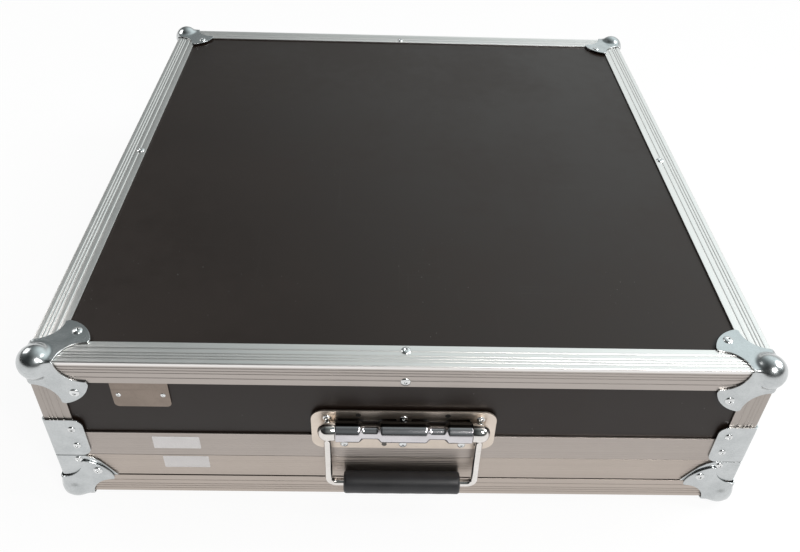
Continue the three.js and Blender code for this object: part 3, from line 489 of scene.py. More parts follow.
# Painted shade: the barrel and its saddle get a darker copy of the handle chrome, standing in for the dark
# surroundings that they reflect; the band along the top is a painted dark reflection.
SHADED_BARREL_CHROME = Plated("barrel_chrome_painted_shade", (0.66, 0.64, 0.66), (0.54, 0.52, 0.54), 0.13, 0.08, 40.0, 0.5, 0.00001,
                     painted_reflection_band=(0.643, 0.766, -0.1115, -0.1107))
SATIN = Plated("handle_satin_chrome", (0.74, 0.65, 0.57), (0.68, 0.60, 0.52), 0.36, 0.1, 60.0, 0.6, 0.00001)
NAME_PLATE = Plated("bare_plate", (0.28, 0.23, 0.195), (0.23, 0.19, 0.16), 0.32, 0.12, 70.0, 0.6)
SPRING = Plated("spring_steel", (0.42, 0.44, 0.47), (0.30, 0.31, 0.33), 0.3, 0.15, 80.0, 0.6)
DARK_STEEL = Plated("mandrel_steel", (0.16, 0.15, 0.14), (0.08, 0.075, 0.07), 0.4, 0.2, 120.0, 0.6)
RUBBER = Dull("grip_rubber", (0.017, 0.017, 0.019), (0.028, 0.028, 0.031), 0.4, 1500.0, 0.00004, 45.0)
FOAM = Dull("lining_foam", (0.022, 0.022, 0.024), (0.045, 0.045, 0.048), 0.95, 700.0, 0.0005, 18.0)
PAPER = Dull("paper_label", (0.76, 0.73, 0.73), (0.80, 0.77, 0.77), 0.6, 1800.0, 0.00001, 60.0)
FILM = Phenolic()


def arc(centre: Pair, radius: float, start: float, end: float, steps: int) -> list[Pair]:
    """Points on an arc.

    Args:
        centre: the arc's centre.
        radius: its radius.
        start: its first angle in radians.
        end: its last angle in radians.
        steps: how many pieces it has.

    Returns:
        The points, ends included.
    """
    angles = [start + (end - start) * i / steps for i in range(steps + 1)]
    return [(centre[0] + radius * math.cos(a), centre[1] + radius * math.sin(a)) for a in angles]


def rounded_rectangle(low: Pair, high: Pair, radii: Sequence[float], steps: int) -> list[Pair]:
    """A rectangle's outline with a radius at each corner, anticlockwise from the lowest.

    Args:
        low: the lowest corner.
        high: the highest corner.
        radii: the radius at low-left, low-right, high-right and high-left.
        steps: how many pieces each rounding has.

    Returns:
        The outline's points.
    """
    points: list[Pair] = []
    spots = [(low[0], low[1], 1, 1, math.pi), (high[0], low[1], -1, 1, 1.5 * math.pi),
             (high[0], high[1], -1, -1, 0.0), (low[0], high[1], 1, -1, 0.5 * math.pi)]
    for (x, y, dx, dy, start), radius in zip(spots, radii):
        if radius <= 0:
            points.append((x, y))
        else:
            points += arc((x + dx * radius, y + dy * radius), radius, start, start + QUARTER, steps)
    return points


def sleeve(half: float, bore: float, radius: float) -> list[Pair]:
    """The closed profile of a plain sleeve about its middle."""
    return [(-half, bore), (-half, radius), (half, radius), (half, bore)]


def inside(point: Pair, outline: Sequence[Pair]) -> bool:
    """Whether a point lies inside an outline."""
    hit = False
    for i, (x0, y0) in enumerate(outline):
        x1, y1 = outline[i - 1]
        if (y0 > point[1]) != (y1 > point[1]) and point[0] < (x1 - x0) * (point[1] - y0) / (y1 - y0) + x0:
            hit = not hit
    return hit


def clearance(point: Pair, outline: Sequence[Pair]) -> float:
    """How far a point lies from the nearest corner of a finely stepped outline."""
    return min(math.hypot(point[0] - x, point[1] - y) for x, y in outline)


def filled(outline: Sequence[Pair], inner: Iterable[Pair], rings: Sequence[Sequence[Pair]] = ()) -> tuple:
    """Triangulates an outline with points and closed rings inside it.

    Args:
        outline: the outer edge, anticlockwise.
        inner: loose points inside it.
        rings: closed lines that triangle edges must follow.

    Returns:
        The points and the faces, anticlockwise.
    """
    points = [Vector(point) for point in outline]
    edges = []
    for ring in rings:
        start = len(points)
        points += [Vector(point) for point in ring]
        edges += [(start + i, start + (i + 1) % len(ring)) for i in range(len(ring))]
    points += [Vector(point) for point in inner]
    found = delaunay_2d_cdt(points, edges, [list(range(len(outline)))], 1, 1e-5)
    return [(point[0], point[1]) for point in found[0]], [tuple(face) for face in found[2]]


def facing(at: Sequence[float], out: Sequence[float]) -> Matrix:
    """A placing matrix whose X axis points out from a place."""
    turn = Vector(UP).rotation_difference(Vector(out)).to_matrix().to_4x4()
    return Matrix.Translation(Vector(at)) @ turn @ X_TO_Z


class Shape:
    """A mesh being made, in millimetres about the middle of the case."""

    def __init__(self) -> None:
        """Starts with no points and no faces."""
        self.points: list[Vector] = []
        self.faces: list[tuple[int, ...]] = []

    def add(self, points: Iterable[Sequence[float]], faces: Iterable[Sequence[int]],
            matrix: Matrix = STILL) -> "Shape":
        """Adds points and faces, moved by a matrix; a mirror turns the faces round.

        Args:
            points: the points.
            faces: corner numbers of each face, within these points.
            matrix: the move.

        Returns:
            This shape.
        """
        start = len(self.points)
        self.points += [matrix @ Vector(point) for point in points]
        flip = matrix.determinant() < 0
        for face in faces:
            corners = tuple(start + corner for corner in face)
            self.faces.append(corners[::-1] if flip else corners)
        return self

    def merge(self, other: "Shape", matrix: Matrix = STILL) -> "Shape":
        """Adds another shape, moved by a matrix."""
        return self.add(other.points, other.faces, matrix)

    def skin(self, rings: Sequence[Sequence[Sequence[float]]], around: bool = True, closed: bool = False,
             capped: bool = True, matrix: Matrix = STILL) -> "Shape":
        """Joins rings of points with quads.

        Args:
            rings: equal rings of points.
            around: whether each ring closes on itself.
            closed: whether the last ring joins the first.
            capped: whether the first and last rings are filled.
            matrix: the move.

        Returns:
            This shape.
        """
        count = len(rings[0])
        faces = []
        for i in range(len(rings) if closed else len(rings) - 1):
            near, far = i * count, ((i + 1) % len(rings)) * count
            for k in range(count if around else count - 1):
                after = (k + 1) % count
                faces.append((near + k, near + after, far + after, far + k))
        if capped and not closed:
            faces.append(tuple(range(count))[::-1])
            faces.append(tuple(range((len(rings) - 1) * count, len(rings) * count)))
        return self.add([point for ring in rings for point in ring], faces, matrix)

    def prism(self, outline: Sequence[Pair], low: float, high: float, matrix: Matrix = STILL) -> "Shape":
        """Adds an outline in X and Y raised from one level to another."""
        return self.skin([[(x, y, low) for x, y in outline], [(x, y, high) for x, y in outline]], matrix=matrix)

    def pierced(self, outline: Sequence[Pair], holes: Sequence[Sequence[Pair]], low: float,
                high: float) -> "Shape":
        """Adds an outline with holes, raised from one level to another.

        Args:
            outline: the outer edge, anticlockwise.
            holes: closed lines inside it, anticlockwise.
            low: the lower level.
            high: the upper level.

        Returns:
            This shape.
        """
        points, found = filled(outline, (), holes)
        kept = []
        for face in found:
            centre = tuple(sum(points[i][axis] for i in face) / len(face) for axis in (0, 1))
            if not any(inside(centre, hole) for hole in holes):
                kept.append(face)
        count = len(points)
        sides = {(face[i], face[(i + 1) % len(face)]) for face in kept for i in range(len(face))}
        faces = [tuple(count + i for i in face) for face in kept] + [face[::-1] for face in kept]
        faces += [(a, b, count + b, count + a) for a, b in sides if (b, a) not in sides]
        return self.add([(x, y, level) for level in (low, high) for x, y in points], faces)

    def block(self, low: Sequence[float], high: Sequence[float]) -> "Shape":
        """Adds a box between two corners."""
        outline = [(low[0], low[1]), (high[0], low[1]), (high[0], high[1]), (low[0], high[1])]
        return self.prism(outline, low[2], high[2])

    def lathe(self, profile: Sequence[Pair], sides: int, closed: bool = False,
              matrix: Matrix = STILL) -> "Shape":
        """Turns a profile of place and radius about the X axis.

        Args:
            profile: places along X with their radii.
            sides: how many steps round.
            closed: whether the profile is a closed loop, such as a tube's wall.
            matrix: the move.

        Returns:
            This shape.
        """
        turns = [2 * math.pi * k / sides for k in range(sides)]
        rings = [[(place, radius * math.cos(turn), radius * math.sin(turn)) for turn in turns]
                 for place, radius in profile]
        return self.skin(rings, closed=closed, capped=not closed, matrix=matrix)

    def tube(self, path: Sequence[Vector], radii: Sequence[float], sides: int) -> "Shape":
        """Sweeps a round section of changing radius along a path in the plane of X and Z."""
        across = Vector(BEHIND)
        rings = []
        for i, place in enumerate(path):
            along = path[min(i + 1, len(path) - 1)] - path[max(i - 1, 0)]
            side = along.normalized().cross(across)
            rings.append([place + radii[i] * (math.cos(turn) * side + math.sin(turn) * across)
                          for turn in (2 * math.pi * k / sides for k in range(sides))])
        return self.skin(rings)

    def rivet(self, at: Sequence[float], out: Sequence[float], radius: float, height: float) -> "Shape":
        """Adds a blind rivet's head with its mandrel hole, standing out from a surface."""
        profile = [(height * up, radius * wide) for up, wide in RIVET_PROFILE]
        return self.lathe(profile, 28, matrix=facing(at, out))


RIVET_PROFILE = ((-0.2, 1.0), (0.0, 1.0), (0.12, 1.0), (0.26, 0.985), (0.48, 0.93), (0.68, 0.82),
                 (0.84, 0.68), (0.95, 0.53), (1.0, 0.43), (0.99, 0.38), (0.93, 0.345), (0.6, 0.335),
                 (0.3, 0.325), (0.3, 0.27), (0.42, 0.2), (0.5, 0.1), (0.52, 0.02))


class Bench:
    """Knows where the case stands in the frame, and puts finished pieces there."""

    def __init__(self, panel_gap: float, half_depth: float, height: float) -> None:
        """Reads the case's place from the CAD top panel."""
        low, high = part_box("lid_top_panel")
        self.shift = Vector((0.0, low.y / MM + half_depth - panel_gap, high.z / MM - height + panel_gap))

    def put(self, shape: Shape, name: str, finish: Finish, body: str, slot: Slot, *nodes: str,
            at: Matrix = STILL, bevel: float = 0.0, wall: float = 0.0, weld: float = 0.0, steps: int = 2,
            sharp: float = 38.0) -> bpy.types.Object:
        """Args:
            shape: the mesh in millimetres.
            name: the piece's name.
            finish: what makes its material.
            body: the CAD body it rides on.
            slot: the record's slot for its finish; not used.
            nodes: the CAD nodes it stands for.
            at: where the shape goes.
            bevel: the rounding of its edges, in millimetres.
            wall: the sheet's thickness behind its face, for an open sheet.
            weld: how near points have to be to become one, in millimetres.
            steps: how many pieces the rounding has.
            sharp: the angle in degrees above which an edge is sharp.

        Returns:
            The object.
        """
        placed = Shape().merge(shape, at)
        mesh = bpy.data.meshes.new(name)
        mesh.from_pydata([(point + self.shift) * MM for point in placed.points], [], placed.faces)
        work = bmesh.new()
        work.from_mesh(mesh)
        if weld > 0:
            bmesh.ops.remove_doubles(work, verts=work.verts, dist=weld * MM)
        loose = [vert for vert in work.verts if not vert.link_faces]
        bmesh.ops.delete(work, geom=loose, context="VERTS")
        if wall == 0:
            bmesh.ops.recalc_face_normals(work, faces=work.faces)
        for face in work.faces:
            face.smooth = True
        for edge in work.edges:
            if bevel == 0 and len(edge.link_faces) == 2 and edge.calc_face_angle(0.0) > math.radians(sharp):
                edge.smooth = False
        work.to_mesh(mesh)
        work.free()
        piece = bpy.data.objects.new(name, mesh)
        bpy.context.scene.collection.objects.link(piece)
        mesh.materials.append(finish.material())
        if wall > 0:
            thick = piece.modifiers.new("sheet", "SOLIDIFY")
            thick.thickness = wall * MM
            thick.offset = -1.0
            thick.use_even_offset = False
        if bevel > 0:
            self.round_edges(piece, bevel, steps, sharp)
        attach(piece, body)
        if nodes:
            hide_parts(*nodes)
        LOG.info("%s rides on %s and stands for %s", name, body, ", ".join(nodes) or "itself")
        return piece

    def rivets(self, name: str, spots: Iterable[tuple], head: Pair, body: str, slot: Slot) -> None:
        """Puts blind rivets at places, each with its way out; a head is its radius and height."""
        shape = Shape()
        for at, out in spots:
            shape.rivet(at, out, *head)
        self.put(shape, name, RIVET_STEEL, body, slot)

    @staticmethod
    def round_edges(piece: bpy.types.Object, width: float, steps: int = 2, sharp: float = 38.0) -> None:
        """Rounds a piece's sharp edges without changing its mesh."""
        rounding = piece.modifiers.new("rounding", "BEVEL")
        rounding.width = width * MM
        rounding.segments = steps
        rounding.limit_method = "ANGLE"
        rounding.angle_limit = math.radians(sharp)
        rounding.harden_normals = True

    @staticmethod
    def keep(node: bpy.types.Object, finish: Finish, bevel: float = 0.0) -> None:
        """Gives a CAD node that stays its finish and softened edges."""
        node.data.materials.clear()
        node.data.materials.append(finish.material())
        if bevel > 0:
            Bench.round_edges(node, bevel)
        LOG.info("%s keeps its CAD shape", node.name)


@dataclass
class Case:
    """Sizes over the aluminium edges, and those that its pieces share."""

    width: float = 560.0
    depth: float = 590.0
    height: float = 156.0
    joint: float = 49.5
    seat: float = 0.3
    joint_gap: float = 0.3
    flange: float = 22.0
    wall: float = 1.5
    corner_radius: float = 1.2
    panel: float = 7.0
    sheet: float = 1.2
    lid_flange: float = 27.05
    base_flange: float = 25.65

    @property
    def half_width(self) -> float:
        """Half the width."""
        return self.width / 2

    @property
    def half_depth(self) -> float:
        """Half the depth."""
        return self.depth / 2

    @property
    def panel_gap(self) -> float:
        """How far the panels lie inside the outer faces."""
        return self.wall + self.seat

    @property
    def rail_inner(self) -> float:
        """The inner face of the rails, from the outer face."""
        return self.panel_gap + self.panel + self.seat + self.wall

    @property
    def lid_bottom(self) -> float:
        """The underside of the lid rail."""
        return self.joint + self.joint_gap / 2

    @property
    def base_top(self) -> float:
        """The top of the base rail."""
        return self.joint - self.joint_gap / 2

    @property
    def lid_rail_top(self) -> float:
        """The top lip of the lid rail."""
        return self.lid_bottom + self.lid_flange

    @property
    def proud(self) -> float:
        """How far the outside of a steel sheet stands out from the face under it."""
        return self.seat + self.sheet

    @property
    def pressed(self) -> dict:
        """How a pressed steel sheet is thickened and rounded."""
        return {"wall": self.sheet, "bevel": 0.42, "steps": 3, "sharp": 50.0}

    def wall_matrix(self, side: Side) -> Matrix:
        """Places a piece made along X with its outer face on Y = 0 on a wall."""
        out = self.half_width if side.latched else self.half_depth
        place = Vector((out * math.sin(side.turn), -out * math.cos(side.turn), 0.0))
        return Matrix.Translation(place) @ Matrix.Rotation(side.turn, 4, "Z")

    def half_run(self, side: Side) -> float:
        """Half the length of a wall."""
        return self.half_depth if side.latched else self.half_width

    def corner_matrix(self, corner: Corner, wide: float, level: float = 0.0, up: int = 1) -> Matrix:
        """Places a piece made about a sharp outer corner, inward counted positive."""
        place = Vector((corner.sx * (self.half_width + wide), corner.sy * (self.half_depth + wide), level))
        return Matrix.Translation(place) @ Matrix.Diagonal((-corner.sx, -corner.sy, up, 1))


def ribbed_run(length: float, shares: Sequence[float], depth: float, half: float, crown: float) -> list[Pair]:
    """The outer side of a ribbed flange, tip first.

    Args:
        length: the flange's width.
        shares: where its grooves lie, as shares of the width, tip first.
        depth: how deep they are.
        half: half their width.
        crown: how far the bands between them bulge.

    Returns:
        Places along the flange with their depths.
    """
    points: list[Pair] = [(length, crown)]
    grooves = [share * length for share in shares]
    bounds = [length] + [edge for place in grooves for edge in (place + half, place - half)] + [0.0]
    for i in range(0, len(bounds), 2):
        near, far = bounds[i], bounds[i + 1]
        for k in range(1, 6):
            t = k / 6
            points.append((near + (far - near) * t, crown * (2 * t - 1) ** 2))
        if i + 2 < len(bounds):
            centre = (far + bounds[i + 2]) / 2
            for k in range(9):
                t = -1 + k / 4
                points.append((centre - t * half, crown + (depth - crown) * math.cos(math.pi * t / 2) ** 2))
    return points


def mitred(section: Sequence[Pair], half: float, start: Optional[float] = None,
           end: Optional[float] = None) -> Shape:
    """A length along X of a section; an end that is None is mitred at the corner.

    Args:
        section: inward distances and heights.
        half: half the length of the wall.
        start: where it starts.
        end: where it ends.

    Returns:
        The length, its outer face on Y = 0.
    """
    rings = [[(way * (half - inward) if stop is None else stop, inward, level) for inward, level in section]
             for way, stop in ((-1, start), (1, end))]
    return Shape().skin(rings)


@dataclass
class EdgeAngles:
    """Ribbed aluminium angles round the top and the bottom, and the uprights of the lid."""

    case: Case
    groove_shares: tuple[float, ...] = (0.71, 0.48, 0.35, 0.22)
    groove_depth: float = 0.43
    groove_half: float = 0.6
    crown: float = 0.1
    rivet_inset: float = 16.5
    rivet_head: Pair = (3.9, 1.3)
    rounding: float = 0.22
    # Painted shade: the height in metres below which the lid angles are painted darker and warmer.
    painted_shade_height: float = 0.1605

    def section(self) -> list[Pair]:
        """The angle's closed section, its outer corner at the origin."""
        case = self.case
        run = ribbed_run(case.flange, self.groove_shares, self.groove_depth, self.groove_half, self.crown)
        run = [point for point in run if point[0] > case.corner_radius]
        radius = case.corner_radius
        corner = arc((radius, radius), radius, -QUARTER, -math.pi, 6)
        other = [(depth, along) for along, depth in reversed(run)]
        wall, flange = case.wall, case.flange
        return run + corner + other + [(wall, flange), (wall, wall), (flange, wall)]

    def build(self, bench: Bench) -> None:
        """Makes the eight lengths with their rivets, and the four uprights."""
        case, section = self.case, self.section()
        upturned = [(inward, case.height - down) for inward, down in section]
        for side in Side:
            for body, bar, finish in (("lid", upturned, Extruded(side.run, painted_shade_height=self.painted_shade_height)),
                                      ("base", section, Extruded(side.run, **BASE_PAINTED_SHADE))):
                bench.put(mitred(bar, case.half_run(side) - case.seat), f"{body}_angle_{side.label}", finish,
                          body, Slot.ALUMINIUM, f"{body}_edge_{side.label}", at=case.wall_matrix(side),
                          bevel=self.rounding)
        lid, base = [], []
        for side in Side:
            stand = case.wall_matrix(side)
            lid.append((stand @ Vector((0.0, self.rivet_inset, case.height)), UP))
            lid.append((stand @ Vector((0.0, 0.0, case.height - self.rivet_inset)),
                        stand.to_3x3() @ Vector(AHEAD)))
            base.append((stand @ Vector((0.0, self.rivet_inset, 0.0)), DOWN))
        bench.rivets("lid_angle_rivets", lid, self.rivet_head, "lid", Slot.ALUMINIUM)
        bench.rivets("base_angle_rivets", base, self.rivet_head, "base", Slot.ALUMINIUM)
        low = case.lid_rail_top + case.seat
        high = case.height - case.flange - case.seat
        for corner in Corner:
            outline = [(corner.sx * (case.half_width - a), corner.sy * (case.half_depth - b))
                       for a, b in section]
            bench.put(Shape().prism(outline, low, high), f"lid_upright_{corner.label}",
                      Extruded(Run.Z, **POST_PAINTED_SHADE), "lid", Slot.ALUMINIUM, f"lid_post_{corner.label}",
                      bevel=self.rounding)


@dataclass
class Rails:
    """The tongue and groove rails that meet at the joint, cut through at the latches."""

    case: Case
    latch_y: float = -110.0
    cut_half: float = 39.3
    cut_depth: float = 8.9
    base_cut_bottom: float = 27.7
    groove_shares: tuple[float, ...] = (0.93, 0.88, 0.80, 0.72, 0.62, 0.53, 0.43, 0.34, 0.24, 0.15, 0.08)
    groove_depth: float = 0.14
    groove_half: float = 0.42
    crown: float = 0.03
    inner_flange: float = 15.0
    lid_web: float = 6.5
    base_web: float = 3.0
    tongue_height: float = 4.0
    tongue_foot: float = 1.8
    tongue_top: float = 1.3
    groove_clear: float = 0.4
    groove_roof: float = 0.3
    rounding: float = 0.18

    def lid_section(self) -> list[Pair]:
        """The lid rail's closed section as inward distance and height."""
        case = self.case
        run = ribbed_run(case.lid_flange, self.groove_shares, self.groove_depth, self.groove_half, self.crown)
        low, inner, centre = case.lid_bottom, case.rail_inner, case.rail_inner / 2
        reach = self.tongue_foot + self.groove_clear
        roof = low + self.tongue_height + self.groove_roof
        return [(depth, low + along) for along, depth in run] + [
            (0.0, low), (centre - reach, low), (centre - reach, roof), (centre + reach, roof),
            (centre + reach, low), (inner, low), (inner, low + self.inner_flange),
            (inner - case.wall, low + self.inner_flange), (inner - case.wall, low + self.lid_web),
            (case.wall, low + self.lid_web), (case.wall, case.lid_rail_top)]

    def base_section(self) -> list[Pair]:
        """The base rail's closed section as inward distance and height."""
        case = self.case
        run = ribbed_run(case.base_flange, self.groove_shares, self.groove_depth, self.groove_half, self.crown)
        top, inner, centre = case.base_top, case.rail_inner, case.rail_inner / 2
        tip = top + self.tongue_height
        return [(depth, top - along) for along, depth in run] + [
            (0.0, top), (centre - self.tongue_foot, top), (centre - self.tongue_top, tip),
            (centre + self.tongue_top, tip), (centre + self.tongue_foot, top), (inner, top),
            (inner, top - self.inner_flange), (inner - case.wall, top - self.inner_flange),
            (inner - case.wall, top - self.base_web), (case.wall, top - self.base_web),
            (case.wall, top - case.base_flange)]

    def build(self, bench: Bench) -> None:
        """Makes both rails on all four walls."""
        case = self.case
        low, top, inner = case.lid_bottom, case.base_top, case.rail_inner
        slope = self.cut_depth + 0.2
        lid_rest = [[(self.cut_depth, low), (inner, low), (inner, low + self.inner_flange),
                     (slope, low + self.inner_flange)]]
        base_low = top - case.base_flange
        base_rest = [[(self.cut_depth, top), (inner, top), (inner, top - self.inner_flange),
                      (slope, top - self.inner_flange)],
                     [(0.0, base_low), (case.wall, base_low), (case.wall, self.base_cut_bottom),
                      (0.0, self.base_cut_bottom)]]
        for side in Side:
            half = case.half_run(side)
            for body, section, rest, colours in (("lid", self.lid_section(), lid_rest, RAIL_PAINTED_SHADE),
                                                 ("base", self.base_section(), base_rest, BASE_PAINTED_SHADE)):
                stretches = [(section, None, None)]
                if side.latched:
                    middle = self.latch_y if side is Side.RIGHT else -self.latch_y
                    start, end = middle - self.cut_half, middle + self.cut_half
                    stretches = [(section, None, start), (section, end, None)]
                    stretches += [(piece, start, end) for piece in rest]
                shape = Shape()
                for piece, start, end in stretches:
                    shape.merge(mitred(piece, half, start, end))
                bench.put(shape, f"{body}_rail_{side.label}", Extruded(side.run, **colours), body,
                          Slot.ALUMINIUM, f"{body}_rail", at=case.wall_matrix(side), bevel=self.rounding)


@dataclass
class BallCorners:
    """Pressed ball corners: three riveted petals folded round a ball."""

    case: Case
    ball_radius: float = 13.6
    ball_inset: float = 6.6
    foot_flat: float = 0.4
    petal_foot: float = 22.5
    petal_side: float = 42.3
    tip_centre: float = 16.5
    tip_start: float = 43.5
    tip_half: float = 22.5
    rivet_place: float = 31.5
    rivet_head: Pair = (3.9, 1.3)
    fold_radius: float = 2.7
    fillet: float = 2.2
    fine_step: float = 0.85
    coarse_step: float = 1.9
    fine_reach: float = 13.5
    petal_reach: float = 50.0
    row_share: float = 0.866
    spacing: float = 0.62
    search: Pair = (0.4, 2.6)
    halvings: int = 40

    def outline(self) -> list[Pair]:
        """One petal's outline from the sharp outer corner, with both folded edges stepped."""
        over = self.case.proud
        foot = self.petal_foot + over
        steps = 24
        along = [(foot * i / steps, 0.0) for i in range(steps)]
        shift = [(over + a, over + b) for a, b in
                 arc((self.petal_side, 0.0), self.petal_side - self.petal_foot, math.pi, QUARTER, 20)]
        rise, run = self.tip_half - self.tip_centre, self.tip_start - self.tip_centre
        lean = math.atan2(rise, run)
        centre = self.tip_centre + over
        tip = arc((centre, centre), math.hypot(rise, run), lean, QUARTER - lean, 20)
        mirrored = [(b, a) for a, b in reversed(shift)]
        back = [(b, a) for a, b in reversed(along[1:])]
        return along + [(foot, 0.0)] + shift + tip + mirrored + [(0.0, foot)] + back

    def petal(self) -> tuple[list[Pair], list[tuple[int, ...]]]:
        """One petal's flat mesh, finer under the ball."""
        outline = self.outline()
        foot = self.ball_inset + self.case.proud
        inner = []
        for step, near in ((self.fine_step, True), (self.coarse_step, False)):
            rise = step * self.row_share
            for row in range(1, int(self.petal_reach / rise)):
                for column in range(1, int(self.petal_reach / step)):
                    point = ((column + 0.5 * (row % 2)) * step, row * step * self.row_share)
                    reach = math.hypot(point[0] - foot, point[1] - foot)
                    if (reach < self.fine_reach) != near:
                        continue
                    if inside(point, outline) and clearance(point, outline) > self.spacing * step:
                        inner.append(point)
        return filled(outline, inner)

    def depth(self, places: numpy.ndarray, centre: numpy.ndarray) -> numpy.ndarray:
        """How far places lie outside the rounded corner joined softly with the ball."""
        fold = self.fold_radius
        out = fold - places
        corner = numpy.linalg.norm(numpy.maximum(out, 0.0), axis=1)
        corner = corner + numpy.minimum(out.max(axis=1), 0.0) - fold
        ball = numpy.linalg.norm(places - centre, axis=1) - self.ball_radius
        share = numpy.clip(0.5 + 0.5 * (corner - ball) / self.fillet, 0.0, 1.0)
        return corner * (1 - share) + ball * share - self.fillet * share * (1 - share)

    def pressed(self, footed: bool) -> Shape:
        """The corner's outer sheet about its own sharp outer corner, inward counted positive."""
        flat, faces = self.petal()
        over = self.case.proud
        inset = self.ball_inset + (2 * over if footed else over)
        centre = numpy.array((inset, inset, self.ball_inset + over))
        shape = Shape()
        turned = [face[::-1] for face in faces]
        for points in ([(0.0, a, b) for a, b in flat], [(b, 0.0, a) for a, b in flat],
                       [(a, b, 0.0) for a, b in flat]):
            shape.add(points, turned)
        places = numpy.array([tuple(point) for point in shape.points])
        rays = places - centre
        low, high = (numpy.full(len(places), bound) for bound in self.search)
        for _ in range(self.halvings):
            middle = (low + high) / 2
            outside = self.depth(centre + rays * middle[:, None], centre) > 0
            high = numpy.where(outside, middle, high)
            low = numpy.where(outside, low, middle)
        moved = centre + rays * low[:, None]
        if footed:
            level = self.ball_inset - self.ball_radius + self.foot_flat + self.case.proud
            moved[:, 2] = numpy.maximum(moved[:, 2], level)
        shape.points = [Vector(place) for place in moved]
        return shape

    def build(self, bench: Bench) -> None:
        """Makes the eight corners and their rivets."""
        case, over = self.case, self.case.proud
        lid_form, base_form = self.pressed(False), self.pressed(True)
        rivets = {"lid": [], "base": []}
        for corner in Corner:
            for body, form, wide, level, up in (("lid", lid_form, over, case.height + over, -1),
                                                ("base", base_form, 2 * over, -over, 1)):
                stand = case.corner_matrix(corner, wide, level, up)
                bench.put(form, f"{body}_pressed_corner_{corner.label}", ZINC, body, Slot.ZINC,
                          f"{body}_ball_corner_{corner.label}", at=stand, weld=0.02, **case.pressed)
                for axis in range(3):
                    spot = Vector((self.rivet_place + over,) * 3)
                    spot[axis] = 0.0
                    out = Vector((0.0, 0.0, 0.0))
                    out[axis] = -1.0
                    rivets[body].append((stand @ spot, stand.to_3x3() @ out))
        for body, spots in rivets.items():
            bench.rivets(f"{body}_corner_rivets", spots, self.rivet_head, body, Slot.ZINC)


@dataclass
class Braces:
    """Zinc-plated braces folded round the uprights above and below the joint."""

    case: Case
    fold_radius: float = 2.7
    joint_gap: float = 0.2
    lid_width: float = 29.0
    lid_top: float = 92.5
    lid_radius: float = 8.0
    lid_rivets: tuple[Pair, ...] = ((19.5, 62.0), (19.5, 81.5))
    base_outline: tuple[Pair, ...] = ((45.0, 24.0), (33.0, 42.0), (28.0, 46.5))
    base_neck: float = 22.0
    base_rivets: tuple[Pair, ...] = ((16.8, 44.6),)
    level_step: float = 4.0
    rivet_head: Pair = (3.2, 1.3)

    def lid_side(self) -> list[Pair]:
        """Reach from the corner at each height of a lid brace, from the bottom up."""
        low = self.case.lid_bottom + self.joint_gap
        centre = self.lid_width - self.lid_radius
        foot = arc((centre, low + self.lid_radius), self.lid_radius, -QUARTER, 0.0, 10)
        head = arc((centre, self.lid_top - self.lid_radius), self.lid_radius, 0.0, QUARTER, 10)
        return foot + head

    def base_side(self) -> list[Pair]:
        """Reach from the corner at each height of a base brace, from the bottom up."""
        return list(self.base_outline) + [(self.base_neck, self.case.base_top - self.joint_gap)]

    def folded(self, side: Sequence[Pair]) -> Shape:
        """A sheet folded round the corner, inward counted positive from the sharp outer corner."""
        fold = self.fold_radius
        half_arc = fold * math.pi / 4
        levels: list[tuple[float, float]] = []
        for (reach, level), (next_reach, next_level) in zip(side, side[1:]):
            pieces = max(1, int((next_level - level) / self.level_step))
            for i in range(pieces):
                t = i / pieces
                levels.append((reach + (next_reach - reach) * t, level + (next_level - level) * t))
        levels.append(side[-1])
        rings = []
        for reach, level in levels:
            span = reach + self.case.proud - fold + half_arc
            places = [-1 + k / 4 for k in range(9)]
            flat = [half_arc + (span - half_arc) * k / 6 for k in range(1, 7)]
            steps = [-place for place in reversed(flat)] + [place * half_arc for place in places] + flat
            rings.append([self.wrapped(step, half_arc) + (level,) for step in steps])
        return Shape().skin(rings, around=False, capped=False)

    def wrapped(self, step: float, half_arc: float) -> Pair:
        """The place of a point at a distance from the fold's middle."""
        fold = self.fold_radius
        if abs(step) <= half_arc:
            angle = math.pi / 4 + step / fold
            return (fold - fold * math.cos(angle), fold - fold * math.sin(angle))
        flat = fold + abs(step) - half_arc
        return (flat, 0.0) if step > 0 else (0.0, flat)

    def build(self, bench: Bench) -> None:
        """Makes the eight braces and their rivets."""
        case, over = self.case, self.case.proud
        for body, side, places in (("lid", self.lid_side(), self.lid_rivets),
                                   ("base", self.base_side(), self.base_rivets)):
            form, rivets = self.folded(side), []
            for corner in Corner:
                stand = case.corner_matrix(corner, over)
                bench.put(form, f"{body}_folded_brace_{corner.label}", ZINC, body, Slot.ZINC,
                          f"{body}_brace_{corner.label}", at=stand, **case.pressed)
                for inset, level in places:
                    for spot, out in (((inset + over, 0.0, level), AHEAD),
                                      ((0.0, inset + over, level), (-1.0, 0.0, 0.0))):
                        rivets.append((stand @ Vector(spot), stand.to_3x3() @ Vector(out)))
            bench.rivets(f"{body}_brace_rivets", rivets, self.rivet_head, body, Slot.ZINC)


@dataclass
class Panels:
    """Phenolic plywood panels of the lid and the base, kept from the CAD frame."""

    nodes: tuple[str, ...] = ("lid_top_panel", "lid_front_panel", "lid_back_panel", "lid_left_panel",
                              "lid_right_panel", "base_bottom_panel", "base_wall_frame")
    rounding: float = 0.25

    def build(self, frame: dict) -> None:
        """Gives each panel the film finish and softened edges."""
        for name in self.nodes:
            Bench.keep(frame["nodes"][name], FILM, self.rounding)


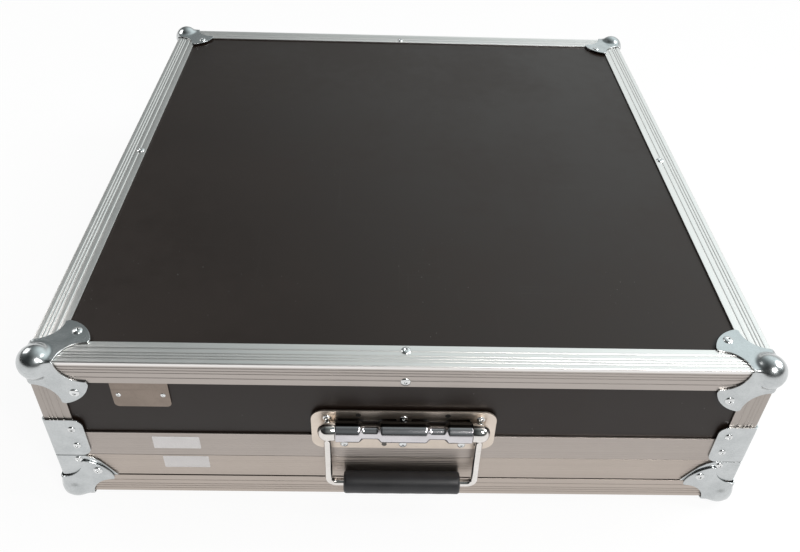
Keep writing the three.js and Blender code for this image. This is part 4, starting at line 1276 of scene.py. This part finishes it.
@dataclass
class Labels:
    """A bare name plate under the top angle and two blank paper labels on the rails."""

    case: Case
    plate_left: float = -222.0
    plate_width: float = 43.6
    plate_height: float = 26.2
    plate_wall: float = 0.8
    plate_radius: float = 4.0
    rivet_inset: float = 5.0
    rivet_head: Pair = (2.0, 0.7)
    paper_wall: float = 0.12
    paper_gap: float = 0.02
    paper_radius: float = 0.8
    lid_label: tuple[float, float, float, float] = (-200.0, 58.0, -162.5, 72.5)
    base_label: tuple[float, float, float, float] = (-195.0, 33.5, -158.0, 48.0)

    def build(self, bench: Bench) -> None:
        """Makes the plate, its rivets and the labels."""
        case = self.case
        top = case.height - case.flange - case.seat
        bottom = top - self.plate_height
        right = self.plate_left + self.plate_width
        face = case.wall - self.plate_wall
        stand = Matrix.Translation((0.0, -case.half_depth, 0.0)) @ STOOD_UP
        outline = rounded_rectangle((self.plate_left, bottom), (right, top),
                                    (self.plate_radius, self.plate_radius, 0.0, 0.0), 8)
        bench.put(Shape().prism(outline, -case.wall, -face), "bare_name_plate", NAME_PLATE, "lid", Slot.PLATE,
                  "name_plate", at=stand, bevel=0.2)
        spots = [((x, face - case.half_depth, (top + bottom) / 2), AHEAD)
                 for x in (self.plate_left + self.rivet_inset, right - self.rivet_inset)]
        bench.rivets("name_plate_rivets", spots, self.rivet_head, "lid", Slot.PLATE)
        for body, (left, low, far, high) in (("lid", self.lid_label), ("base", self.base_label)):
            paper = rounded_rectangle((left, low), (far, high), (self.paper_radius,) * 4, 4)
            shape = Shape().prism(paper, self.paper_gap, self.paper_gap + self.paper_wall)
            bench.put(shape, f"{body}_paper_label", PAPER, body, Slot.ALUMINIUM, at=stand)


@dataclass
class Handle:
    """The spring-loaded case handle: pressed plate with its barrel, bail and rubber grip."""

    case: Case
    plate_width: float = 145.0
    plate_bottom: float = 63.5
    plate_height: float = 44.0
    plate_radius: float = 10.0
    plate_wall: float = 1.5
    axis_height: float = 93.3
    axis_out: float = 9.55
    barrel_half: float = 52.7
    barrel_radius: float = 8.5
    barrel_wall: float = 1.2
    neck_radius: float = 5.8
    neck_in: float = 21.0
    neck_out: float = 31.0
    shoulder: float = 4.0
    knuckle_radius: float = 7.55
    knuckle_start: float = 53.0
    knuckle_round: float = 60.0
    knuckle_end: float = 67.0
    bail_radius: float = 3.0
    bail_half: float = 59.5
    bail_drop: float = 64.5
    bend_radius: float = 6.0
    grip_half: float = 47.7
    grip_radius: float = 9.25
    grip_round: float = 2.5
    rivet_head: Pair = (3.2, 1.1)
    rivets: tuple[Pair, ...] = ((-60.0, 99.5), (0.0, 99.5), (60.0, 99.5), (-47.0, 68.3), (0.0, 68.3),
                                (47.0, 68.3))
    holes: tuple[Pair, ...] = ((-35.5, 103.4), (34.0, 103.4), (-15.0, 68.3), (59.0, 69.0))
    slot_tab: float = 4.6
    slot_rise: float = -2.6
    slot_depth: float = 3.0
    slot_ease: float = 1.5
    saddle_share: float = 0.86
    saddle_levels: Pair = (-4.2, 0.2)
    saddle_gap: float = 0.2
    flare: tuple[Pair, ...] = ((4.0, 5.6), (5.4, 5.5), (6.2, 5.2), (6.9, 4.75), (7.6, 4.2), (8.4, 3.75),
                               (9.4, 3.4), (10.6, 3.15), (12.2, 3.0))
    hole_radius: float = 2.1

    def radius_at(self, x: float) -> float:
        """The barrel's outer radius at a place along it."""
        place = abs(x)
        inner, outer = self.neck_in - self.shoulder, self.neck_out + self.shoulder
        if place <= inner or place >= outer:
            return self.barrel_radius
        if self.neck_in <= place <= self.neck_out:
            return self.neck_radius
        share = (place - inner) / self.shoulder if place < self.neck_in else (outer - place) / self.shoulder
        ease = share * share * (3 - 2 * share)
        return self.barrel_radius + (self.neck_radius - self.barrel_radius) * ease

    def build(self, bench: Bench, frame: dict) -> None:
        """Makes the handle's pieces."""
        case = self.case
        self.face = -case.half_depth - case.seat - self.plate_wall
        self.axis = Matrix.Translation((0.0, -case.half_depth - self.axis_out, self.axis_height))
        self.build_plate(bench)
        self.build_barrel(bench)
        self.build_bail(bench)
        self.build_grip(bench)
        Bench.keep(frame["nodes"]["handle_spring"], SPRING)

    def build_plate(self, bench: Bench) -> None:
        """Makes the plate with its rivets and holes."""
        top = self.plate_bottom + self.plate_height
        half = self.plate_width / 2
        outline = rounded_rectangle((-half, self.plate_bottom), (half, top), (self.plate_radius,) * 4, 10)
        back = self.case.half_depth + self.case.seat
        plate = Shape().pierced(outline, [self.slot(-1), self.slot(1)], back, back + self.plate_wall)
        bench.put(plate, "handle_back_plate", SATIN, "lid", Slot.CHROME, "handle_plate", at=STOOD_UP,
                  bevel=0.72, steps=3)
        spots = [((x, self.face, z), AHEAD) for x, z in self.rivets]
        bench.rivets("handle_rivets", spots, self.rivet_head, "lid", Slot.CHROME)
        rim, holes = self.hole_radius, Shape()
        profile = [(-0.2, rim), (0.12, rim), (0.16, rim - 0.3), (0.1, rim - 0.5), (0.02, rim - 0.55),
                   (0.02, 0.02)]
        for x, z in self.holes:
            holes.lathe(profile, 24, matrix=facing((x, self.face, z), AHEAD))
        bench.put(holes, "handle_spare_holes", DARK_STEEL, "lid", Slot.CHROME)

    def slot(self, way: int) -> list[Pair]:
        """The slot above one half of the barrel, left where the plate was pressed forward."""
        stops = [self.slot_tab + (self.barrel_half - self.slot_tab) * i / 60 for i in range(61)]
        rise = self.axis_height + self.slot_rise
        ends = [min(1.0, 0.25 + 0.75 * min(x - stops[0], stops[-1] - x) / self.slot_ease) for x in stops]
        over = [(x, rise + self.radius_at(x) * end) for x, end in zip(stops, ends)]
        line = [(stops[0], rise - self.slot_depth), (stops[-1], rise - self.slot_depth)] + over[::-1]
        return line if way > 0 else [(-x, z) for x, z in reversed(line)]

    def build_barrel(self, bench: Bench) -> None:
        """Makes the tube with its two necks and the saddle behind it."""
        stops = [-self.barrel_half + 2 * self.barrel_half * i / 150 for i in range(151)]
        outer = [(x, self.radius_at(x)) for x in stops]
        inner = [(x, self.radius_at(x) - self.barrel_wall) for x in reversed(stops)]
        barrel = Shape().lathe(outer + inner, 64, closed=True)
        bench.put(barrel, "handle_barrel", SHADED_BARREL_CHROME, "lid", Slot.CHROME, "handle_plate", at=self.axis,
                  bevel=0.3, sharp=50)
        saddle, (low, high) = Shape(), self.saddle_levels
        face = self.barrel_radius * self.saddle_share - self.axis_out
        for first, last in ((-self.barrel_half, -self.neck_out - self.shoulder),
                            (-self.neck_in + self.shoulder, self.neck_in - self.shoulder),
                            (self.neck_out + self.shoulder, self.barrel_half)):
            saddle.block((first, face, low), (last, 0.0, high))
        back = -self.case.half_depth - self.case.seat - self.saddle_gap
        stand = Matrix.Translation((0.0, back, self.axis_height))
        bench.put(saddle, "handle_barrel_saddle", SHADED_BARREL_CHROME, "lid", Slot.CHROME, at=stand, bevel=0.6)

    def build_bail(self, bench: Bench) -> None:
        """Makes the bail: a rod whose legs flare into rounded knuckles at the barrel's ends."""
        bail = Shape().tube(*self.bail_path(), 28)
        reach = self.knuckle_start + 1
        bail.lathe([(-reach, self.bail_radius), (reach, self.bail_radius)], 24)
        radius, start = self.knuckle_radius, self.knuckle_start
        profile = [(start + 0.1, radius - 0.5), (start + 0.25, radius - 0.2), (start + 0.6, radius)]
        for i in range(15):
            angle = QUARTER * i / 14
            profile.append((self.knuckle_round + (self.knuckle_end - self.knuckle_round) * math.sin(angle),
                            max(radius * math.cos(angle), 0.05)))
        for turn in (0.0, math.pi):
            bail.lathe(profile, 48, matrix=Matrix.Rotation(turn, 4, "Z"))
        bench.put(bail, "handle_formed_bail", CHROME, "handle", Slot.CHROME, "handle_bail", at=self.axis,
                  sharp=60)

    def bail_path(self) -> tuple[list[Vector], list[float]]:
        """The rod's centre line and radius from one knuckle round to the other."""
        half, drop, bend = self.bail_half, self.bail_drop, self.bend_radius
        left = [(-half, -level, radius) for level, radius in self.flare]
        left += [(x, z, self.bail_radius)
                 for x, z in arc((-half + bend, bend - drop), bend, math.pi, 1.5 * math.pi, 12)]
        both = left + [(-x, z, radius) for x, z, radius in reversed(left)]
        return [Vector((x, 0.0, z)) for x, z, _ in both], [radius for _, _, radius in both]

    def build_grip(self, bench: Bench) -> None:
        """Makes the moulded rubber grip round the foot of the bail."""
        half, radius, curve = self.grip_half, self.grip_radius, self.grip_round
        bore = self.bail_radius + self.case.seat
        end = arc((half - curve, radius - curve), curve, QUARTER, 0.0, 6)
        outer = [(-x, r) for x, r in reversed(end)]
        middle = [(-half + curve + (2 * half - 2 * curve) * i / 12, radius - 0.12 * (i % 2))
                  for i in range(1, 12)]
        profile = [(-half, bore)] + outer + middle + end + [(half, bore)]
        foot = self.axis @ Matrix.Translation((0.0, 0.0, -self.bail_drop))
        bench.put(Shape().lathe(profile, 56, closed=True), "handle_rubber_grip", RUBBER, "handle",
                  Slot.RUBBER, "handle_grip", at=foot, sharp=60)


@dataclass
class Foam:
    """Foam boards that line the base and the lid round the mixer's bay."""

    case: Case
    board: float = 24.1
    base_floor: float = 10.0
    lid_roof: float = 12.0
    end_gap: float = 3.5
    seam: float = 0.35
    rounding: float = 2.2

    def boards(self, low: float, high: float, flat_low: float, flat_high: float) -> Shape:
        """Four wall boards and a floor or roof board, butted with thin seams."""
        case = self.case
        wide = case.half_width - case.rail_inner - case.seat
        deep = case.half_depth - case.rail_inner - case.seat
        gap = self.seam
        wall_low, wall_high = (flat_high + gap, high) if flat_low <= low else (low, flat_low - gap)
        shape = Shape().block((-wide, -deep, flat_low), (wide, deep, flat_high))
        for way in (-1, 1):
            near, far = sorted((way * deep, way * (deep - self.board)))
            shape.block((-wide, near, wall_low), (wide, far, wall_high))
            near, far = sorted((way * wide, way * (wide - self.board)))
            reach = deep - self.board - gap
            shape.block((near, -reach, wall_low), (far, reach, wall_high))
        return shape

    def build(self, bench: Bench) -> None:
        """Makes both linings."""
        case = self.case
        low = case.panel_gap + case.panel + case.seat
        high = case.base_top - self.end_gap
        base = self.boards(low, high, low, low + self.base_floor)
        roof = case.height - case.panel_gap - case.panel - case.seat
        lid = self.boards(case.lid_bottom + self.end_gap, roof, roof - self.lid_roof, roof)
        for body, shape in (("base", base), ("lid", lid)):
            piece = bench.put(shape, f"{body}_foam_lining", FOAM, body, Slot.FOAM, f"{body}_foam",
                              bevel=self.rounding, steps=4)


@dataclass
class Hinges:
    """Slip hinges on the back: a base leaf that carries the pin, and a lid leaf that slides off it."""

    case: Case
    offset: float = 150.0
    half: float = 25.0
    axis_out: float = 4.5
    leaf_wall: float = 1.5
    leaf_clear: float = 4.0
    leaf_height: float = 21.0
    leaf_radius: float = 4.5
    knuckle_radius: float = 3.5
    bore_radius: float = 2.05
    knuckle_gap: float = 0.5
    curl_end: float = 115.0
    pin_radius: float = 1.75
    sharp_corner: float = 0.6
    rivet_inset: float = 9.0
    rivet_head: Pair = (2.6, 0.9)

    def curl(self, joint: float, up: int) -> list[Pair]:
        """The leaf's rolled end seen along the pin, as outward distance and height."""
        start, end = math.pi, math.radians(360.0 + self.curl_end)
        centre = (self.axis_out, 0.0)
        outer = arc(centre, self.knuckle_radius, start, end, 28)
        inner = arc(centre, self.bore_radius, end, start, 28)
        top = self.leaf_clear + self.case.seat
        line = [(outer[0][0], top)] + outer + inner + [(inner[-1][0], top)]
        return [(out, joint + up * level) for out, level in line]

    def leaf(self, joint: float, up: int) -> Shape:
        """One leaf with its rolled end, about the wall under the hinge."""
        gap, seat = self.knuckle_gap / 2, self.case.seat
        near, far = sorted((joint + up * self.leaf_clear, joint + up * (self.leaf_clear + self.leaf_height)))
        low, high = (self.sharp_corner, self.leaf_radius)[::up]
        outline = rounded_rectangle((-self.half, near), (self.half, far), (low, low, high, high), 8)
        shape = Shape().prism(outline, -seat - self.leaf_wall, -seat, STOOD_UP)
        start, end = (gap, self.half) if up > 0 else (-self.half, -gap)
        line = self.curl(joint, up)
        return shape.skin([[(x, out, level) for out, level in line] for x in (start, end)])

    def build(self, bench: Bench) -> None:
        """Makes both hinges with their pins and rivets."""
        joint = (self.case.lid_bottom + self.case.base_top) / 2
        radius, reach = self.pin_radius, self.half
        profile = [(-reach, radius + 0.25), (-reach + 0.2, radius + 0.25), (-reach + 0.2, radius),
                   (reach - 1.2, radius), (reach - 0.5, radius * 0.8), (reach, radius * 0.4)]
        pin = Shape().lathe(profile, 32)
        for way, end in ((-1, "left"), (1, "right")):
            stand = Matrix.Translation((way * self.offset, self.case.half_depth, 0.0))
            for body, up in (("base", -1), ("lid", 1)):
                name = f"hinge_{body}_leaf_{end}"
                bench.put(self.leaf(joint, up), f"{name}_rolled", ZINC, body, Slot.ZINC, name, at=stand,
                          bevel=0.25)
                level = joint + up * (self.leaf_clear + self.leaf_height / 2)
                spots = [(stand @ Vector((x, self.case.seat + self.leaf_wall, level)), BEHIND)
                         for x in (self.rivet_inset - self.half, 0.0, self.half - self.rivet_inset)]
                bench.rivets(f"hinge_{body}_rivets_{end}", spots, self.rivet_head, body, Slot.ZINC)
            bench.put(pin, f"hinge_pin_{end}", RIVET_STEEL, "base", Slot.ZINC,
                      at=stand @ Matrix.Translation((0.0, self.axis_out, joint)))


@dataclass
class Latches:
    """Recessed butterfly latches: a pressed dish and strike, a hub with two folding wings, and a hook."""

    case: Case
    place: float = -110.0
    wall: float = 1.0
    floor: float = -7.6
    pocket_half: float = 38.0
    pocket_top: float = 118.0
    pocket_bottom: float = 29.0
    pocket_radius: float = 11.0
    rim: float = 8.0
    rim_radius: float = 6.0
    rim_bottom: float = 24.2
    rim_foot: float = 0.65
    strike_gap: float = 0.6
    hub_height: float = 92.0
    hub_radius: float = 13.3
    play: float = 0.3
    head_radius: float = 2.9
    ear_low: float = 9.5
    ear_high: float = 11.0
    ear_half: float = 7.2
    ear_top: float = -2.4
    wing_axis: float = 5.0
    wing_depth: float = -4.3
    wing_wall: float = 1.4
    wing_barrel: float = 1.7
    wing_barrel_half: float = 9.2
    wing_bore: float = 1.1
    wing_radius: float = 20.0
    wing_shoulder: float = 9.5
    wing_neck: float = 7.7
    hook_height: float = 66.0
    hook_depth: float = -3.9
    hook_half: float = 7.0
    hook_wall: float = 1.6
    hook_length: float = 31.6
    hook_foot: float = 3.4
    hook_swing: float = 8.0
    hook_barrel: float = 2.0
    hook_bore: float = 1.3
    hook_barrel_half: float = 9.0
    hook_ear_half: float = 2.5
    hook_ear_wall: float = 2.0
    hook_ear_top: float = -1.6
    rooted: float = 0.4
    ledge_half: float = 9.0
    ledge_height: float = 2.0
    ledge_gap: float = 0.5
    ledge_clear: float = 0.4
    rivet_head: Pair = (2.6, 0.9)

    def bend(self, half: float, start: float, far: float, radius: float, out: float) -> list[tuple]:
        """A line up one side, round the far end and down the other side, at one depth."""
        way = 1 if far > start else -1
        turn = arc((radius - half, far - way * radius), radius, math.pi, math.pi - way * QUARTER, 10)
        middle = (start + far - way * radius) / 2
        left = [(-half, start), (-half, middle)] + turn
        return [(out, y, z) for y, z in left + [(-y, z) for y, z in reversed(left)]]

    def pressing(self, start: float, pocket_end: float, rim_end: float) -> Shape:
        """A sheet pressed into a pocket with a flat rim, open at its start.

        Args:
            start: the height of the open edge, at the joint.
            pocket_end: the height of the pocket's far wall.
            rim_end: the height of the rim's far edge.

        Returns:
            The outer face of the sheet, in the latch's own frame.
        """
        way = 1 if pocket_end > start else -1
        face = self.case.seat + self.wall
        lip, foot, draft = 1.4, 2.0, 0.6
        steps = [(lip, face)]
        for i in range(1, 6):
            angle = QUARTER * i / 5
            steps.append((lip - lip * math.sin(angle), face - lip + lip * math.cos(angle)))
        for i in range(6):
            angle = QUARTER * i / 5
            steps.append((-draft - foot + foot * math.cos(angle), self.floor + foot - foot * math.sin(angle)))
        rings = [self.bend(self.pocket_half + self.rim, start, rim_end, self.rim_radius, face)]
        for wide, out in steps:
            rings.append(self.bend(self.pocket_half + wide, start, pocket_end + way * wide,
                                   self.pocket_radius + wide, out))
        last = rings[-1]
        reach = -last[0][1]
        count = len(last)
        rings.append([(self.floor, -reach + 2 * reach * i / (count - 1), start) for i in range(count)])
        shape = Shape().skin(rings, around=False, capped=False)
        if way > 0:
            shape.faces = [corners[::-1] for corners in shape.faces]
        return shape

    def hub(self) -> Shape:
        """The turned disc with its two ears and the wings' pins, about the hub's own axis."""
        low, radius, bore = self.floor + self.play, self.hub_radius, 2.3
        high = low + self.wall
        profile = [(low, bore), (low, radius - 0.3), (low + 0.25, radius), (high - 0.35, radius),
                   (high, radius - 0.35), (high, radius - 1.6), (high - 0.25, radius - 1.9),
                   (high - 0.25, radius - 2.5), (high, radius - 2.8), (high, 3.9), (high - 0.2, 3.6),
                   (high - 0.2, bore)]
        shape = Shape().lathe(profile, 64, closed=True)
        outline = rounded_rectangle((low + 0.4, -self.ear_half), (self.ear_top, self.ear_half),
                                    (0.0, 1.8, 1.8, 0.0), 8)
        for way in (-1, 1):
            near, far = sorted((way * self.ear_low, way * self.ear_high))
            shape.prism(outline, near, far)
            reach = self.ear_high + 0.35
            pin = [(-reach, 0.5), (-reach, 1.0), (0.25 - reach, 1.2), (0.35 - reach, 1.2), (0.35 - reach, 0.8)]
            pin += [(-x, r) for x, r in reversed(pin)]
            axis = Matrix.Translation((self.wing_depth, way * self.wing_axis, 0.0))
            shape.lathe(pin, 20, matrix=axis @ X_TO_Z)
        return shape

    def wing(self) -> Shape:
        """One wing about its own axis, reaching along Y, with a raised line near its round edge."""
        axis, radius = self.wing_axis, self.wing_radius
        lean = math.acos(self.wing_shoulder / radius)
        half, thick = self.wing_barrel_half, self.wing_wall / 2
        start = self.wing_barrel - thick
        line = [(start, -half), (self.wing_neck - axis, -half)]
        line += arc((-axis, 0.0), radius, -lean, lean, 40)
        line += [(self.wing_neck - axis, half), (start, half)]
        shape = Shape().prism(line, -thick, thick, ALONG_WALL)
        ridge = arc((-axis, 0.0), radius - 2.2, -lean * 0.72, lean * 0.72, 28)
        ridge += arc((-axis, 0.0), radius - 4.0, lean * 0.72, -lean * 0.72, 28)
        shape.prism(ridge, 0.0, thick + 0.45, ALONG_WALL)
        return shape.lathe(sleeve(half, self.wing_bore, self.wing_barrel), 32, closed=True, matrix=X_TO_Z)

    def hook(self) -> Shape:
        """The bent hook about its own pivot, hanging straight down."""
        thick, foot = self.hook_wall / 2, -self.hook_length
        inner = arc((-thick - 0.8, foot + self.hook_wall + 0.8), 0.8, 0.0, -QUARTER, 5)
        outer = arc((thick - 2.2, foot + 2.2), 2.2, -QUARTER, 0.0, 8)
        line = [(-thick, -1.2)] + inner + [(-self.hook_foot, foot + self.hook_wall), (-self.hook_foot, foot)]
        line += outer + [(thick, -1.2)]
        shape = Shape().skin([[(x, y, z) for x, z in line] for y in (-self.hook_half, self.hook_half)])
        barrel = sleeve(self.hook_barrel_half, self.hook_bore, self.hook_barrel)
        return shape.lathe(barrel, 36, closed=True, matrix=X_TO_Y)

    def pins(self) -> Shape:
        """The hub's headed pin, and the ears and pin that carry the hook."""
        high = self.floor + self.play + self.wall + self.play
        head = [(self.floor - self.rooted, 2.0), (high, 2.0), (high, self.head_radius),
                (high + 0.4, self.head_radius), (high + 0.8, self.head_radius * 0.75),
                (high + 1.0, self.head_radius * 0.4)]
        shape = Shape().lathe(head, 36, matrix=Matrix.Translation((0.0, 0.0, self.hub_height)))
        near = self.hook_barrel_half + self.play
        far = near + self.hook_ear_wall
        ear = rounded_rectangle((self.floor - self.rooted, self.hook_height - self.hook_ear_half),
                                (self.hook_ear_top, self.hook_height + self.hook_ear_half),
                                (0.0, 2.0, 2.0, 0.0), 8)
        for start, end in ((-far, -near), (near, far)):
            shape.skin([[(x, y, z) for x, z in ear] for y in (start, end)])
        reach = near + 2.3
        pin = [(-reach, 0.7), (-reach, 1.3), (0.3 - reach, 1.3), (0.3 - reach, 1.0)]
        pin += [(-x, r) for x, r in reversed(pin)]
        axis = Matrix.Translation((self.hook_depth, 0.0, self.hook_height))
        return shape.lathe(pin, 24, matrix=axis @ X_TO_Y)

    def build(self, bench: Bench) -> None:
        """Makes both latches."""
        case = self.case
        low, top = case.lid_bottom + self.rim_foot, case.base_top - self.strike_gap
        face, middle = case.seat + self.wall, self.pocket_half + self.wall + (self.rim - self.wall) / 2
        ledge_low = self.hook_height - self.hook_length + self.hook_wall + self.ledge_gap
        ledge_face = self.hook_depth - self.hook_wall / 2 - self.ledge_clear
        ledge = Shape().block((self.floor - self.rooted, -self.ledge_half, ledge_low),
                              (ledge_face, self.ledge_half, ledge_low + self.ledge_height))
        pressed = {"wall": self.wall, "weld": 0.02, "bevel": 0.2}
        dish = self.pressing(low, self.pocket_top, self.pocket_top + self.rim)
        strike = self.pressing(top, self.pocket_bottom, self.rim_bottom)
        fixed = (("pressed_dish", dish, ZINC, "lid", "latch_dish", pressed),
                 ("pressed_strike", strike, ZINC, "base", "latch_strike", pressed),
                 ("ledge", ledge, ZINC, "base", "", {"bevel": 0.4}),
                 ("pins", self.pins(), RIVET_STEEL, "lid", "", {"bevel": 0.2}))
        for way, side in ((-1, "left"), (1, "right")):
            stand = Matrix.Translation((way * case.half_width, self.place, 0.0))
            if way < 0:
                stand = stand @ Matrix.Rotation(math.pi, 4, "Z")
            out = stand.to_3x3() @ Vector((1.0, 0.0, 0.0))
            for label, shape, finish, body, node, how in fixed:
                nodes = [f"{node}_{side}"] if node else []
                bench.put(shape, f"latch_{side}_{label}", finish, body, Slot.ZINC, *nodes, at=stand, **how)
            for body, levels in (("lid", (low + self.rim, self.pocket_top)),
                                 ("base", ((self.pocket_bottom + top) / 2,))):
                spots = [(stand @ Vector((face, y, level)), out) for y in (-middle, middle) for level in levels]
                bench.rivets(f"latch_{side}_{body}_rivets", spots, self.rivet_head, body, Slot.ZINC)
            centre = stand @ Matrix.Translation((0.0, 0.0, self.hub_height))
            bench.put(self.hub(), f"latch_{side}_turning_hub", ZINC, f"latch_{side}_hub", Slot.ZINC,
                      f"latch_hub_{side}", at=centre, bevel=0.2)
            for end, toward in (("front", -way), ("back", way)):
                hung = (centre @ Matrix.Translation((self.wing_depth, toward * self.wing_axis, 0.0))
                        @ Matrix.Rotation(0.0 if toward > 0 else math.pi, 4, "X"))
                bench.put(self.wing(), f"latch_{side}_{end}_wing", ZINC, f"latch_{side}_wing_{end}", Slot.ZINC,
                          f"latch_wing_{side}_{end}", at=hung, bevel=0.3)
            hung = (stand @ Matrix.Translation((self.hook_depth, 0.0, self.hook_height))
                    @ Matrix.Rotation(-math.radians(self.hook_swing), 4, "Y"))
            bench.put(self.hook(), f"latch_{side}_bent_hook", ZINC, f"latch_{side}_hook", Slot.ZINC,
                      f"latch_hook_{side}", at=hung, bevel=0.3)


@dataclass
class Studio:
    """A pale floor, soft lights and the photograph's camera."""

    camera_place: tuple[float, float, float] = (-19.6, -708.1, 587.9)
    camera_right: tuple[float, float, float] = (0.99960, -0.00769, 0.02722)
    camera_up: tuple[float, float, float] = (-0.01595, 0.64139, 0.76705)
    camera_forward: tuple[float, float, float] = (0.02335, 0.76718, -0.64101)
    lens: float = 36.40
    sensor: float = 36.0
    floor_half: float = 12.0
    floor_colour: Colour = (0.93, 0.92, 0.91)
    floor_glow: float = 0.93
    wall_strength: float = 0.9
    low_tone: Colour = (0.98, 0.97, 0.96)
    high_tone: Colour = (0.89, 0.99, 1.0)
    lamps: tuple = (
        ("window", (1.55, -0.05, 1.45), 0.9, 27.0, (0.98, 0.99, 1.0)),
        ("door", (0.65, -1.3, 1.55), 0.45, 17.0, (1.0, 0.98, 0.96)),
        ("lamp", (-1.5, 0.6, 1.3), 0.8, 8.0, (1.0, 0.99, 0.98)),
    )
    aim: tuple[float, float, float] = (0.0, 0.0, 0.08)

    def build_camera(self, bench: Bench) -> None:
        """Places the camera, whose place is given about the middle of the case."""
        data = bpy.data.cameras.new("photograph_view")
        data.lens = self.lens
        data.sensor_width = self.sensor
        data.sensor_fit = "HORIZONTAL"
        data.clip_start = 0.01
        camera = bpy.data.objects.new("photograph_view", data)
        back = -Vector(self.camera_forward)
        turn = Matrix((self.camera_right, self.camera_up, back)).transposed()
        place = (Vector(self.camera_place) + bench.shift) * MM
        camera.matrix_world = Matrix.Translation(place) @ turn.to_4x4()
        bpy.context.scene.collection.objects.link(camera)
        bpy.context.scene.camera = camera

    def build_floor(self) -> None:
        """Lays the plain pale floor."""
        mesh = bpy.data.meshes.new("studio_floor")
        reach, signs = self.floor_half, ((-1, -1), (1, -1), (1, 1), (-1, 1))
        mesh.from_pydata([(x * reach, y * reach, 0.0) for x, y in signs], [], [(0, 1, 2, 3)])
        floor = bpy.data.objects.new("studio_floor", mesh)
        bpy.context.scene.collection.objects.link(floor)
        material, wiring, shader, _ = Finish.begin("studio_paper")
        wiring.feed(shader.inputs["Base Color"], rgba(self.floor_colour))
        shader.inputs["Roughness"].default_value = 0.9
        shader.inputs["Specular IOR Level"].default_value = 0.1
        light = wiring.node("ShaderNodeLightPath").outputs
        seen = wiring.math("MAXIMUM", *(light[f"Is {ray} Ray"] for ray in ("Camera", "Glossy", "Transmission")))
        glow = wiring.node("ShaderNodeEmission", {"Color": (1.0, 1.0, 1.0, 1.0), "Strength": 1.0})
        mixed = wiring.node("ShaderNodeMixShader", {0: wiring.math("MULTIPLY", seen, self.floor_glow),
                                                    1: shader.outputs[0], 2: glow.outputs[0]})
        leave = next(node for node in material.node_tree.nodes if node.type == "OUTPUT_MATERIAL")
        wiring.feed(leave.inputs["Surface"], mixed.outputs[0])
        mesh.materials.append(material)

    def build_world(self) -> None:
        """Makes a soft room: bright towards the back right, dim behind the camera, pale at the horizon."""
        world = bpy.data.worlds.new("studio_room")
        world.use_nodes = True
        world.node_tree.nodes.clear()
        wiring = Wiring(world.node_tree)
        way = wiring.node("ShaderNodeTexCoord").outputs["Generated"]
        x, y, z = wiring.node("ShaderNodeSeparateXYZ", {0: way}).outputs
        back = wiring.spread(y, -0.4, 0.55, 0.26, 1.12)
        right = wiring.spread(x, -0.40, 0.32, 0.17, 1.0)
        high = wiring.spread(z, 0.72, 0.97, 1.0, 0.75)
        low_front = wiring.math("MULTIPLY", wiring.spread(y, 0.0, -0.5), wiring.spread(z, 0.6, 0.4))
        dim = wiring.math("SUBTRACT", 1.0, wiring.math("MULTIPLY", low_front, 0.5))
        low = wiring.spread(z, 0.1, 0.5, 0.42, 1.0)
        strength = wiring.math("MULTIPLY", back, right, high, dim, low)
        wall = wiring.math("MULTIPLY", wiring.spread(z, 0.22, 0.09), self.wall_strength)
        tone = wiring.laid(rgba(self.low_tone), (wiring.spread(z, 0.0, 0.6), 1.0, rgba(self.high_tone)))
        feeds = {"Color": tone, "Strength": wiring.math("MAXIMUM", strength, wall)}
        glow = wiring.node("ShaderNodeBackground", feeds)
        wiring.node("ShaderNodeOutputWorld", {"Surface": glow.outputs[0]})
        bpy.context.scene.world = world

    def build_lamps(self) -> None:
        """Hangs the soft lamps, each turned to the case."""
        for name, place, size, power, colour in self.lamps:
            data = bpy.data.lights.new(name, "AREA")
            data.shape = "SQUARE"
            data.size = size
            data.energy = power
            data.color = colour
            lamp = bpy.data.objects.new(name, data)
            lamp.location = place
            lamp.rotation_euler = (Vector(self.aim) - Vector(place)).to_track_quat("-Z", "Y").to_euler()
            bpy.context.scene.collection.objects.link(lamp)

    def build(self) -> None:
        """Makes the whole studio."""
        self.build_floor()
        self.build_world()
        self.build_lamps()
        bpy.context.scene.view_settings.view_transform = "Standard"


def main() -> None:
    """Builds the flight case and its studio."""
    logging.basicConfig(level=logging.INFO, format="%(name)s: %(message)s")
    random.seed(11)
    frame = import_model()
    case = Case()
    bench = Bench(case.panel_gap, case.half_depth, case.height)
    studio = Studio()
    studio.build_camera(bench)
    Panels().build(frame)
    for group in (EdgeAngles, Rails, BallCorners, Braces, Labels):
        group(case).build(bench)
    Handle(case).build(bench, frame)
    for group in (Foam, Hinges, Latches):
        group(case).build(bench)
    studio.build()


if __name__ == "__main__":
    main()
